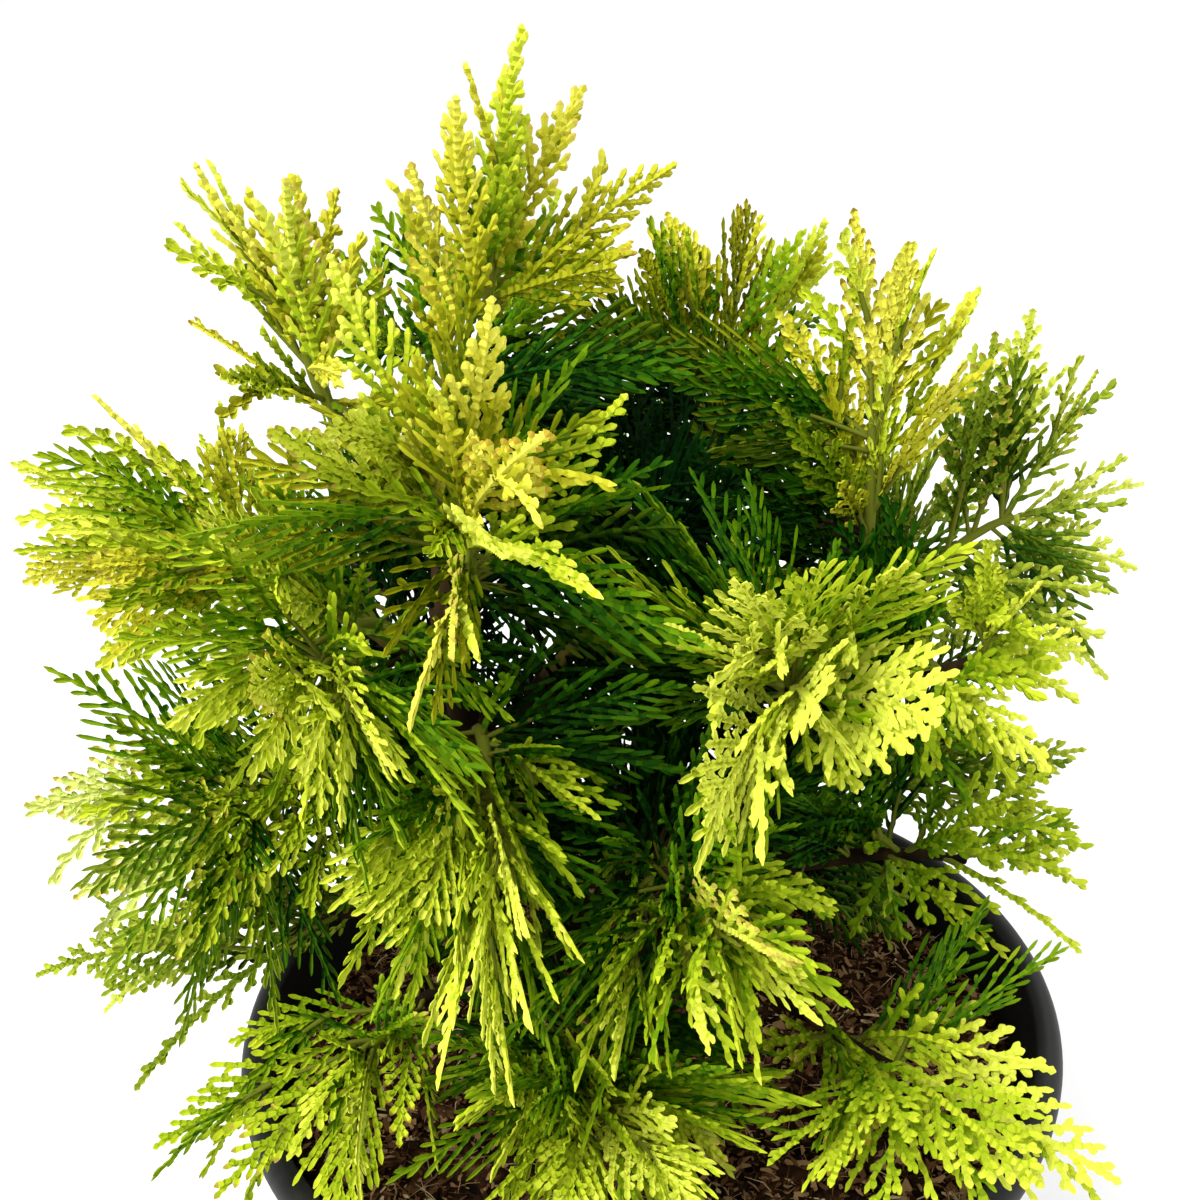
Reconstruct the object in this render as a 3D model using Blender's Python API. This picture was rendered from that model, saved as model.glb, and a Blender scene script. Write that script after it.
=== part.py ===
"""A potted golden globe arborvitae: black nursery pot, soil, a leaning trunk with
its boughs, and flat toothed foliage sprays gathered in separate masses."""
import math
import random

import bpy
from mathutils import Vector
from mathutils.bvhtree import BVHTree

MM = 0.001
SEED = 4107
GAP = 0.3

# Pot, lengths in millimetres
POT_HEIGHT = 150.0
POT_BASE_RADIUS = 69.0
POT_RIM_RADIUS = 95.8
POT_FLOOR = 2.2
POT_SIDES = 48
DRAIN_COUNT = 6
DRAIN_RADIUS = 4.5
DRAIN_CIRCLE = 50.0

# Soil
SOIL_LEVEL = 133.0
SOIL_FLAT_RADIUS = 24.0

# Trunk
TRUNK_FOOT_RADIUS = 10.5
TRUNK_RADIUS = 6.2
TRUNK_TIP_RADIUS = 1.7
TRUNK_SIDES = 10
BOUGH_SIDES = 5

# Foliage sprays
TWIG_SIDES = 3
STEM_RADIUS = 1.5
BLADE_THICK = 1.0
RACHIS_HALF = 1.15
TOOTH_ANGLE = 42.0
WIDTH_LOW = 0.50
WIDTH_HIGH = 0.60
ROLL_TRIES = 6
ROLL_SPREAD = 16.0
FRONT_EDGE = 45.0
FRONT_SPRAYS = 7
BACK_SPRAYS = 6
FILL_TRIES = 24
CELL_MARGIN = 0.45
LIMB_CLEAR = 0.7

# Trunk line from the soil up to its tip: x, y, z and the radius there
TRUNK_LINE = (
    (0, 0, SOIL_LEVEL + GAP, TRUNK_FOOT_RADIUS),
    (-1, 0, 138, 7.6),
    (-5, -1, 150, TRUNK_RADIUS),
    (-15, -4, 175, 5.4),
    (-27, -8, 203, 4.7),
    (-35, -10, 232, 4.0),
    (-38, -8, 258, 3.2),
    (-36, -4, 277, 2.5),
    (-31, 0, 293, TRUNK_TIP_RADIUS),
)

# Boughs: name, parent limb, height on the parent, middle point, end point,
# radius at the foot and at the end
BOUGHS = (
    ("bough_right_leader", "trunk", 156, (24, 0, 192), (46, 2, 244), 4.6, 2.0),
    ("bough_left", "trunk", 238, (-46, -5, 246), (-58, -2, 255), 2.6, 1.6),
    ("bough_lower_left", "trunk", 188, (-40, -2, 205), (-60, 0, 214), 2.8, 1.6),
    ("bough_low_left", "trunk", 158, (-34, 4, 168), (-54, 6, 172), 2.8, 1.6),
    ("bough_upper_left", "trunk", 278, (-42, -2, 284), (-49, 0, 289), 1.9, 1.5),
    ("bough_front_upper", "trunk", 256, (-33, -18, 263), (-31, -27, 270), 2.1, 1.5),
    ("bough_front_left", "trunk", 246, (-43, -20, 256), (-47, -28, 264), 2.4, 1.5),
    ("bough_front_droop", "trunk", 222, (-33, -22, 235), (-31, -32, 243), 2.6, 1.6),
    ("bough_front_centre", "trunk", 186, (-10, -20, 200), (-2, -33, 212), 2.8, 1.6),
    ("bough_front_low_left", "trunk", 166, (-30, -12, 171), (-44, -22, 173), 2.8, 1.6),
    ("bough_front_low_mid", "trunk", 150, (-8, -13, 156), (-11, -24, 161), 2.6, 1.6),
    ("bough_inner", "trunk", 216, (-20, 4, 233), (-8, 9, 243), 2.4, 1.5),
    ("bough_back_upper", "trunk", 272, (-37, 8, 282), (-36, 18, 290), 2.0, 1.5),
    ("bough_back_left", "trunk", 212, (-40, 10, 224), (-48, 26, 233), 2.8, 1.6),
    ("bough_back_low_left", "trunk", 170, (-28, 20, 176), (-40, 36, 178), 2.8, 1.6),
    ("bough_back_mid", "trunk", 200, (-20, 16, 216), (-14, 34, 230), 2.8, 1.6),
    ("bough_back_low", "trunk", 148, (-3, 20, 160), (-1, 38, 166), 2.8, 1.6),
    ("bough_back_centre", "bough_right_leader", 206, (26, 20, 226), (25, 34, 246), 2.6, 1.6),
    ("bough_right_upright", "bough_right_leader", 238, (48, 0, 252), (49, 1, 258), 1.9, 1.5),
    ("bough_right_back", "bough_right_leader", 228, (56, 14, 235), (66, 24, 242), 2.4, 1.6),
    ("bough_right_near", "bough_right_leader", 214, (32, -14, 228), (30, -27, 241), 2.4, 1.6),
    ("bough_right", "bough_right_leader", 222, (50, -9, 232), (58, -14, 239), 2.2, 1.5),
    ("bough_right_low", "bough_right_leader", 184, (36, -9, 192), (48, -16, 198), 2.6, 1.6),
    ("bough_front_low_right", "bough_right_leader", 170, (24, -18, 167), (33, -32, 169), 2.6, 1.6),
    ("bough_back_right", "bough_right_leader", 196, (34, 20, 204), (44, 36, 211), 2.6, 1.6),
    ("bough_back_low_right", "bough_right_leader", 178, (28, 18, 173), (40, 32, 173), 2.6, 1.6),
)

# Foliage masses: name, limb whose end carries the stem, how far the sprays lie
# over from upright (degrees), then the point each spray reaches
MASSES = (
    ("top", "trunk", 15, (
        (-15, 8, 367), (-4, 24, 354), (14, 32, 337), (-27, -6, 357),
        (-38, 4, 348), (-18, 40, 336), (-44, 15, 343))),
    ("upper_left", "bough_upper_left", 15, (
        (-76, 0, 347), (-85, 12, 334), (-58, -10, 345), (-88, 22, 312),
        (-54, 26, 340))),
    ("front_upper", "bough_front_upper", 14, (
        (-12, -84, 321), (-20, -62, 335), (-28, -88, 288), (-46, -46, 339),
        (-56, -62, 316), (0, -44, 313), (-19, -92, 306))),
    ("front_left", "bough_front_left", 18, (
        (-54, -78, 252), (-60, -82, 280), (-70, -58, 302), (-84, -32, 294),
        (-82, -58, 262), (-40, -84, 268), (-64, -70, 226))),
    ("left", "bough_left", 20, (
        (-110, 20, 298), (-130, 20, 284), (-134, 22, 255), (-116, -4, 245),
        (-104, -18, 276), (-92, 30, 285), (-76, 4, 298))),
    ("lower_left", "bough_lower_left", 20, (
        (-136, 0, 211), (-133, -12, 190), (-118, 18, 222), (-104, -40, 226),
        (-98, -40, 194), (-68, -35, 203), (-80, -20, 222))),
    ("low_left", "bough_low_left", 50, (
        (-153, 20, 148), (-140, 24, 132), (-118, -20, 146), (-99, 20, 150),
        (-130, 10, 162))),
    ("front_droop", "bough_front_droop", 14, (
        (-38, -80, 234), (-28, -92, 208), (-20, -92, 240), (-46, -74, 214),
        (-12, -72, 212), (-8, -60, 240))),
    ("front_centre", "bough_front_centre", 20, (
        (-8, -84, 202), (8, -92, 214), (28, -84, 212), (-14, -62, 232),
        (44, -68, 222), (18, -94, 236))),
    ("front_low_left", "bough_front_low_left", 65, (
        (-106, -46, 154), (-88, -66, 160), (-64, -76, 156), (-90, -34, 171),
        (-73, -64, 167), (-50, -68, 173))),
    ("front_low_mid", "bough_front_low_mid", 65, (
        (-45, -70, 158), (-18, -86, 172), (6, -90, 176), (22, -74, 160),
        (-30, -74, 190))),
    ("front_low_right", "bough_front_low_right", 65, (
        (85, -80, 167), (66, -92, 180), (78, -60, 176), (44, -84, 184),
        (38, -62, 187))),
    ("right_near", "bough_right_near", 22, (
        (-4, -70, 288), (14, -74, 292), (44, -62, 288), (46, -80, 268),
        (26, -86, 274), (8, -90, 258))),
    ("right", "bough_right", 22, (
        (84, -24, 246), (78, -24, 264), (66, -26, 284), (104, 6, 234),
        (76, -46, 236))),
    ("right_upright", "bough_right_upright", 10, (
        (46, 8, 331), (56, 4, 325), (74, 18, 312), (66, -6, 304),
        (28, -14, 300), (32, 14, 310))),
    ("right_low", "bough_right_low", 45, (
        (98, 0, 184), (92, -30, 180), (75, -34, 222), (68, -50, 196),
        (95, 5, 204))),
    ("right_back", "bough_right_back", 20, (
        (95, 50, 298), (111, 50, 283), (125, 50, 254), (122, 40, 236),
        (114, 30, 212), (84, 40, 296))),
    ("inner", "bough_inner", 25, (
        (8, 16, 292), (24, 10, 280), (-10, 34, 282), (12, -18, 270),
        (24, 16, 258), (-6, -12, 286))),
    ("back_centre", "bough_back_centre", 15, (
        (34, 78, 319), (54, 88, 312), (14, 74, 319), (7, 64, 313),
        (42, 72, 292), (-6, 60, 272), (18, 62, 270))),
    ("back_upper", "bough_back_upper", 20, (
        (-45, 55, 328), (-14, 62, 322), (-64, 46, 320), (-34, 78, 304),
        (-72, 60, 300), (1, 52, 316))),
    ("back_left", "bough_back_left", 25, (
        (-100, 76, 262), (-112, 62, 236), (-72, 100, 252), (-60, 92, 280),
        (-92, 92, 216))),
    ("back_low_left", "bough_back_low_left", 50, (
        (-112, 72, 166), (-92, 102, 168), (-60, 116, 168), (-116, 56, 190),
        (-72, 106, 200))),
    ("back_mid", "bough_back_mid", 20, (
        (-18, 110, 268), (12, 112, 250), (-36, 106, 240), (4, 98, 282),
        (-20, 92, 290), (2, 72, 262))),
    ("back_low", "bough_back_low", 50, (
        (-22, 116, 168), (14, 118, 172), (-4, 112, 204), (30, 104, 196))),
    ("back_right", "bough_back_right", 25, (
        (96, 94, 240), (74, 112, 222), (112, 76, 216), (62, 110, 256),
        (86, 82, 266))),
    ("back_low_right", "bough_back_low_right", 50, (
        (106, 72, 170), (84, 100, 166), (56, 114, 174), (116, 44, 184))),
)


def remove_everything():
    for item in list(bpy.data.objects):
        bpy.data.objects.remove(item, do_unlink=True)


def material(name, colour, roughness, metallic=0.0):
    made = bpy.data.materials.new(name)
    made.use_nodes = True
    shader = made.node_tree.nodes["Principled BSDF"]
    shader.inputs["Base Color"].default_value = (*colour, 1.0)
    shader.inputs["Roughness"].default_value = roughness
    shader.inputs["Metallic"].default_value = metallic
    made.diffuse_color = (*colour, 1.0)
    return made


def mesh_object(name, points, faces, skin, smooth=False):
    """Make one object from points in millimetres, with its faces turned outward."""
    mesh = bpy.data.meshes.new(name)
    mesh.from_pydata([tuple(c * MM for c in p) for p in points], [], faces)
    mesh.validate()
    if signed_volume(mesh) < 0:
        mesh.flip_normals()
    mesh.polygons.foreach_set("use_smooth", [smooth] * len(mesh.polygons))
    made = bpy.data.objects.new(name, mesh)
    if skin:
        made.data.materials.append(skin)
    bpy.context.scene.collection.objects.link(made)
    return made


def signed_volume(mesh):
    total = 0.0
    for face in mesh.polygons:
        corners = [mesh.vertices[i].co for i in face.vertices]
        for k in range(1, len(corners) - 1):
            total += corners[0].dot(corners[k].cross(corners[k + 1]))
    return total / 6.0


def ring_skin(rings):
    """Join closed rings of equal count into one capped tube."""
    sides = len(rings[0])
    points = [p for ring in rings for p in ring]
    faces = []
    for r in range(len(rings) - 1):
        for s in range(sides):
            a = r * sides + s
            b = r * sides + (s + 1) % sides
            faces.append((a, b, b + sides, a + sides))
    faces.append(tuple(range(sides - 1, -1, -1)))
    last = (len(rings) - 1) * sides
    faces.append(tuple(range(last, last + sides)))
    return points, faces


def side_frame(direction, hint):
    """Return two unit vectors square to the direction, the first near the hint."""
    direction = direction.normalized()
    first = hint - direction * hint.dot(direction)
    if first.length < 1e-4:
        other = Vector((1.0, 0.2, 0.0))
        first = other - direction * other.dot(direction)
    first.normalize()
    return first, direction.cross(first)


def tube(centres, radii, sides, foot_aim=None):
    """Points and faces of a tapering limb along the centres."""
    rings = []
    hint = Vector((0.3, 1.0, 0.15))
    count = len(centres)
    for k, centre in enumerate(centres):
        ahead = centres[min(k + 1, count - 1)]
        behind = centres[max(k - 1, 0)]
        direction = (ahead - behind).normalized()
        if foot_aim is not None and k == 0:
            direction = foot_aim
        first, second = side_frame(direction, hint)
        hint = first
        ring = []
        for s in range(sides):
            angle = 2 * math.pi * s / sides
            spoke = first * math.cos(angle) + second * math.sin(angle)
            ring.append(centre + spoke * radii[k])
        rings.append(ring)
    return ring_skin(rings)


def bend(start, middle, end, t):
    """A point on the bent line that starts, heads for the middle and ends."""
    return start * (1 - t) ** 2 + middle * (2 * t * (1 - t)) + end * t ** 2


def heading(start, middle, end, t):
    return ((middle - start) * (1 - t) + (end - middle) * t).normalized()


def tree_of(points, faces):
    return BVHTree.FromPolygons([tuple(p) for p in points], faces)


def wall_inside_radius(height):
    """Inner radius of the pot wall at a height."""
    share = (height - POT_FLOOR) / (POT_HEIGHT - POT_FLOOR)
    return 67.0 + (90.2 - 67.0) * share


def make_pot(skin):
    """Turned pot with a stepped wall, a rolled rim, a floor and drainage holes."""
    top = POT_HEIGHT
    outside = [
        (POT_BASE_RADIUS - 1.0, 0.0), (POT_BASE_RADIUS, 1.2), (70.6, 12.0),
        (86.6, 122.0), (88.8, 124.0), (90.6, 141.0), (93.9, 142.0),
        (POT_RIM_RADIUS, 145.8), (94.2, 148.8), (92.6, top), (90.2, top - 1.2)]
    profile = outside + [(wall_inside_radius(POT_FLOOR), POT_FLOOR)]
    points = []
    count = len(profile)
    for s in range(POT_SIDES):
        angle = 2 * math.pi * s / POT_SIDES
        for radius, height in profile:
            points.append((radius * math.cos(angle), radius * math.sin(angle), height))
    faces = []
    for s in range(POT_SIDES):
        after = (s + 1) % POT_SIDES
        for k in range(count - 1):
            faces.append((s * count + k, after * count + k,
                          after * count + k + 1, s * count + k + 1))
    faces.append(tuple(s * count for s in range(POT_SIDES - 1, -1, -1)))
    faces.append(tuple(s * count + count - 1 for s in range(POT_SIDES)))
    pot = mesh_object("pot", points, faces, skin, True)
    cutters = []
    for k in range(DRAIN_COUNT):
        angle = 2 * math.pi * (k + 0.5) / DRAIN_COUNT
        x = DRAIN_CIRCLE * math.cos(angle)
        y = DRAIN_CIRCLE * math.sin(angle)
        line = [Vector((x, y, -2.0)), Vector((x, y, POT_FLOOR + 2.0))]
        hole_points, hole_faces = tube(line, [DRAIN_RADIUS] * 2, 12)
        cutters.append(mesh_object("drain_cut_%d" % k, hole_points, hole_faces, None))
    for cutter in cutters:
        step = pot.modifiers.new("drain", "BOOLEAN")
        step.operation = "DIFFERENCE"
        step.solver = "EXACT"
        step.object = cutter
    settle(pot)
    for cutter in cutters:
        bpy.data.objects.remove(cutter, do_unlink=True)
    return pot


def settle(target):
    """Write the result of the object's modifiers into its own mesh."""
    graph = bpy.context.evaluated_depsgraph_get()
    graph.update()
    shaped = bpy.data.meshes.new_from_object(target.evaluated_get(graph))
    target.modifiers.clear()
    target.data = shaped


def make_soil(skin):
    """Soil that fills the pot to its level, flat under the trunk and uneven around it."""
    rng = random.Random(SEED)
    foot = POT_FLOOR + GAP
    clear = GAP / math.cos(math.pi / POT_SIDES) + 0.05
    low = wall_inside_radius(foot) - clear
    high = wall_inside_radius(SOIL_LEVEL - 3.0) - clear
    rows = [(low, foot, 0.0), (high, SOIL_LEVEL - 3.0, 0.0)]
    rows += [(high - 6.0, SOIL_LEVEL - 0.5, 1.2), (52.0, SOIL_LEVEL, 1.8),
             (SOIL_FLAT_RADIUS, SOIL_LEVEL, 0.0)]
    points = []
    for radius, height, rough in rows:
        for s in range(POT_SIDES):
            angle = 2 * math.pi * s / POT_SIDES
            lift = rng.uniform(-rough, rough * 0.6)
            points.append((radius * math.cos(angle), radius * math.sin(angle), height + lift))
    faces = []
    for r in range(len(rows) - 1):
        for s in range(POT_SIDES):
            a = r * POT_SIDES + s
            b = r * POT_SIDES + (s + 1) % POT_SIDES
            faces.append((a, b, b + POT_SIDES))
            faces.append((a, b + POT_SIDES, a + POT_SIDES))
    faces.append(tuple(range(POT_SIDES - 1, -1, -1)))
    last = (len(rows) - 1) * POT_SIDES
    faces.append(tuple(range(last, last + POT_SIDES)))
    return mesh_object("soil", points, faces, skin, False)


def limb_line(points, steps):
    """Round off a line of control points into evenly spaced centres."""
    padded = [points[0] * 2 - points[1]] + list(points) + [points[-1] * 2 - points[-2]]
    centres = []
    for k in range(len(points) - 1):
        a, b, c, d = padded[k:k + 4]
        for i in range(steps):
            t = i / steps
            centres.append(0.5 * (2 * b + (c - a) * t + (2 * a - 5 * b + 4 * c - d) * t ** 2
                                  + (3 * b - a - 3 * c + d) * t ** 3))
    centres.append(points[-1])
    return centres


def make_limbs(skin):
    """Trunk first, then each bough set just clear of the limb that carries it."""
    limbs = {}
    centres = [Vector(row[:3]) for row in TRUNK_LINE]
    radii = [row[3] for row in TRUNK_LINE]
    points, faces = tube(centres, radii, TRUNK_SIDES, Vector((0.0, 0.0, 1.0)))
    mesh_object("trunk", points, faces, skin, True)
    limbs["trunk"] = (centres, points, faces)
    for name, parent, height, middle, end, thick, thin in BOUGHS:
        line, parent_points, parent_faces = limbs[parent]
        near = min(range(len(line) - 1),
                   key=lambda k: abs((line[k].z + line[k + 1].z) / 2 - height))
        span = line[near + 1].z - line[near].z
        share = min(max((height - line[near].z) / span, 0.0), 1.0)
        foot = line[near].lerp(line[near + 1], share)
        middle = Vector(middle)
        end = Vector(end)
        bark = tree_of(parent_points, parent_faces)
        out = (middle - foot).normalized()
        slide = 0.0
        while True:
            start = foot + out * slide
            rest = limb_line([start, middle, end], 2)
            sizes = [thick + (thin - thick) * k / (len(rest) - 1) for k in range(len(rest))]
            bough_points, bough_faces = tube(rest, sizes, BOUGH_SIDES)
            crossed = bark.overlap(tree_of(bough_points, bough_faces))
            nearest = min(bark.find_nearest(p)[3] for p in bough_points[:BOUGH_SIDES])
            if not crossed and nearest >= GAP and outside_of(bark, start):
                break
            slide += 0.1
        mesh_object(name, bough_points, bough_faces, skin, True)
        limbs[name] = (rest, bough_points, bough_faces)
    return limbs


def outside_of(bark, point):
    """True when the point lies on the outer side of the nearest face."""
    place, normal, _, _ = bark.find_nearest(point)
    return (point - place).dot(normal) > 0


def mass_layout(limbs):
    """Stem line and home point of every mass, worked out from its carrying limb."""
    layout = {}
    for name, carrier, lie, tips in MASSES:
        line = limbs[carrier][0]
        aim = (line[-1] - line[-2]).normalized()
        tips = [Vector(t) for t in tips]
        centre = sum(tips, Vector()) / len(tips)
        root = line[-1] + aim * GAP
        reach = (centre - root).length
        end = root.lerp(centre, 0.55)
        middle = root + aim * reach * 0.3
        home = root.lerp(centre, 0.5)
        layout[name] = (root, middle, end, home, lie, tips)
    return layout


def spray_plan(name, root, middle, end, tips):
    """Where each spray of a mass leaves the stem and the point it grows to."""
    axis = (end - root).normalized()
    order = sorted(range(len(tips)), key=lambda k: (tips[k] - root).dot(axis))
    plan = []
    for place, k in enumerate(order):
        along = min(0.12 + 0.88 * (place + 0.5) / len(order), 0.97)
        plan.append((bend(root, middle, end, along), tips[k]))
    return plan


def spray_shape(start, tip, lie, spread, rng):
    """Bent line, sideways direction and width of one spray."""
    length = (tip - start).length
    out = Vector((tip.x, tip.y, 0.0)).normalized()
    lift = Vector((0.0, 0.0, 1.0)) * 0.10 + out * 0.06
    bow = start.lerp(tip, 0.5) + lift * length * rng.uniform(0.5, 1.4)
    flow = (tip - start).normalized()
    upright = Vector((0.0, 0.0, 1.0)) * 0.8 + out * 0.6
    first, second = side_frame(flow, upright)
    roll = math.radians(lie + rng.uniform(-spread, spread))
    side = first * math.cos(roll) + second * math.sin(roll)
    face_up = flow.cross(side)
    outward = 1.0 if tip.y > FRONT_EDGE else -1.0
    if face_up.z * face_up.y * outward < 0.0 and rng.random() > 0.15:
        side = first * math.cos(roll) - second * math.sin(roll)
    width = length * rng.uniform(WIDTH_LOW, WIDTH_HIGH)
    return bow, side, width


def blade(start, bow, tip, side, width, teeth):
    """A toothed blade: a thin strip on the bent line with slanting teeth on both sides."""
    first_at = 0.22
    lean = math.radians(TOOTH_ANGLE)
    top = []
    aim = heading(start, bow, tip, 0.0)
    across, _ = side_frame(aim, side)
    for hand in (1.0, -1.0):
        top.append((start + across * RACHIS_HALF * hand, aim, across, 0.0))
    for k in range(teeth + 1):
        for hand in (1.0, -1.0):
            shift = 0.0 if hand > 0 else 0.5 / teeth
            t = first_at + (0.95 - first_at) * min((k / teeth) + shift * (k < teeth), 1.0)
            centre = bend(start, bow, tip, t)
            aim = heading(start, bow, tip, t)
            across, _ = side_frame(aim, side)
            half = RACHIS_HALF * (1.0 - 0.45 * k / teeth)
            top.append((centre + across * half * hand, aim, across, t))
    points = [item[0] for item in top]
    strip = []
    for k in range(teeth + 1):
        a, b = 2 * k, 2 * k + 1
        c, d = 2 * k + 3, 2 * k + 2
        strip.append((a, b, c))
        strip.append((a, c, d))
    for k in range(teeth):
        for hand, low, high in ((1.0, 2 * k + 2, 2 * k + 4), (-1.0, 2 * k + 3, 2 * k + 5)):
            base = (top[low][0] + top[high][0]) * 0.5
            aim, across, t = top[low][1], top[low][2], top[low][3]
            swell = math.sin(math.pi * min(max((t - 0.12) / 0.95, 0.0), 1.0)) ** 0.7
            reach = width * max(swell, 0.25)
            room = (tip - base).length * 0.95
            reach = min(reach, room)
            corner = base + aim * reach * math.cos(lean) + across * hand * reach * math.sin(lean)
            points.append(corner)
            new = len(points) - 1
            if hand > 0:
                strip.append((low, high, new))
            else:
                strip.append((low, new, high))
    points.append(tip.copy())
    last = len(points) - 1
    strip.append((2 * teeth + 2, 2 * teeth + 3, last))
    flow = heading(start, bow, tip, 0.6)
    _, face_up = side_frame(flow, side)
    sharp = set(range(2 * teeth + 4, len(points)))
    return thicken(points, strip, sharp, face_up * (BLADE_THICK / 2))


def thicken(points, strip, sharp, half):
    """Give a flat sheet of triangles its thickness, running out to nothing at sharp points."""
    both = []
    upper = {}
    lower = {}
    for k, p in enumerate(points):
        upper[k] = len(both)
        lower[k] = len(both)
        if k in sharp:
            both.append(p)
        else:
            both.append(p + half)
            lower[k] = len(both)
            both.append(p - half)
    faces = [tuple(upper[i] for i in f) for f in strip]
    faces += [tuple(lower[i] for i in reversed(f)) for f in strip]
    edges = set()
    for a, b, c in strip:
        edges.update(((a, b), (b, c), (c, a)))
    for a, b in sorted(edges):
        if (b, a) in edges:
            continue
        rim = [upper[b], upper[a]]
        if a not in sharp:
            rim.append(lower[a])
        if b not in sharp:
            rim.append(lower[b])
        faces.append(tuple(rim))
    return both, faces


def mass_stem(root, middle, end):
    """Three-sided stem whose foot lies square to the end of its bough."""
    stops = (0.0, 0.35, 0.7, 1.0)
    line = [bend(root, middle, end, t) for t in stops]
    sizes = [STEM_RADIUS * (1.0 - 0.35 * t) for t in stops]
    return tube(line, sizes, TWIG_SIDES, (middle - root).normalized())


def in_own_cell(points, home, others):
    """True when every point lies on its own side of the plane to each neighbour."""
    for other in others:
        gap = other - home
        span = gap.length
        limit = span * 0.5 - CELL_MARGIN
        unit = gap / span
        for p in points:
            if (p - home).dot(unit) > limit:
                return False
    return True


def clear_of_pot(points):
    for p in points:
        r = math.hypot(p.x, p.y)
        if r < 98.0 and p.z < (POT_HEIGHT + 1.2 if r > 84.0 else SOIL_LEVEL + 3.0):
            return False
    return True


def fill_in(points, faces):
    """Corners plus points spread over the faces, for distance tests."""
    probes = list(points)
    for face in faces:
        corners = [points[i] for i in face]
        middle = sum(corners, Vector()) / len(corners)
        probes.append(middle)
        for k, corner in enumerate(corners):
            probes.append(corner.lerp(corners[(k + 1) % len(corners)], 0.5))
    return probes


def clear_of_limbs(points, faces, probes, trees, limb_points):
    shape = tree_of(points, faces)
    for bark, corners in zip(trees, limb_points):
        if bark.overlap(shape):
            return False
        for p in probes:
            if bark.find_nearest(p, LIMB_CLEAR)[0] is not None:
                return False
        for p in corners:
            if shape.find_nearest(p, LIMB_CLEAR)[0] is not None:
                return False
    return True


def join_mass(name, parts, skin):
    """Fuse the parts of one mass into a single closed body."""
    group = bpy.data.collections.new(name + "_parts")
    bpy.context.scene.collection.children.link(group)
    body = mesh_object(name, parts[0][0], parts[0][1], skin, False)
    for k, (points, faces) in enumerate(parts[1:]):
        piece = mesh_object("%s_part_%d" % (name, k), points, faces, None)
        bpy.context.scene.collection.objects.unlink(piece)
        group.objects.link(piece)
    step = body.modifiers.new("join", "BOOLEAN")
    step.operation = "UNION"
    step.solver = "EXACT"
    step.operand_type = "COLLECTION"
    step.collection = group
    settle(body)
    for piece in list(group.objects):
        bpy.data.objects.remove(piece, do_unlink=True)
    bpy.data.collections.remove(group)
    keep_main_shell(body)
    return body


def keep_main_shell(body):
    """Drop loose scraps and sealed hollows, keeping the largest outer skin."""
    mesh = body.data
    owner = list(range(len(mesh.vertices)))

    def head(i):
        while owner[i] != i:
            owner[i] = owner[owner[i]]
            i = owner[i]
        return i

    for edge in mesh.edges:
        a, b = head(edge.vertices[0]), head(edge.vertices[1])
        owner[a] = b
    counts = {}
    for vertex in range(len(owner)):
        counts[head(vertex)] = counts.get(head(vertex), 0) + 1
    if len(counts) == 1:
        return
    main = max(counts, key=counts.get)
    keep = [v for v in range(len(owner)) if head(v) == main]
    number = {v: k for k, v in enumerate(keep)}
    points = [mesh.vertices[v].co / MM for v in keep]
    faces = [tuple(number[i] for i in f.vertices) for f in mesh.polygons if f.vertices[0] in number]
    clean = bpy.data.meshes.new(body.name)
    clean.from_pydata([tuple(c * MM for c in p) for p in points], [], faces)
    clean.materials.append(mesh.materials[0])
    body.data = clean


def fit_spray(start, tip, lie, rng, home, others, guards, parts):
    """The fullest form of a spray that keeps to its cell and clear of pot and limbs.

    Of the forms with equal size, the one that crosses its neighbours least is taken."""
    forms = [spray_shape(start, tip, lie, ROLL_SPREAD, rng) for _ in range(ROLL_TRIES)]
    mates = [tree_of(*part) for part in parts]
    for short in (1.0, 0.92, 0.84, 0.75, 0.65, 0.55):
        best = None
        for bow, side, width in forms:
            far = start.lerp(tip, short)
            turn = start.lerp(bow, short)
            teeth = 4 if (far - start).length > 56.0 else 3
            for slim in (1.0, 0.8):
                shape = blade(start, turn, far, side, width * slim * short, teeth)
                probes = fill_in(*shape)
                if not in_own_cell(shape[0], home, others):
                    continue
                if not clear_of_pot(probes):
                    continue
                if not clear_of_limbs(shape[0], shape[1], probes, *guards):
                    continue
                tree = tree_of(*shape)
                crossings = sum(len(tree.overlap(mate)) for mate in mates)
                score = crossings + (8 if slim < 1.0 else 0)
                if best is None or score < best[0]:
                    best = (score, shape, (start, turn, far, side, width * slim * short))
                break
        if best is not None:
            return short, best[1], best[2]
    return None


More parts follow.
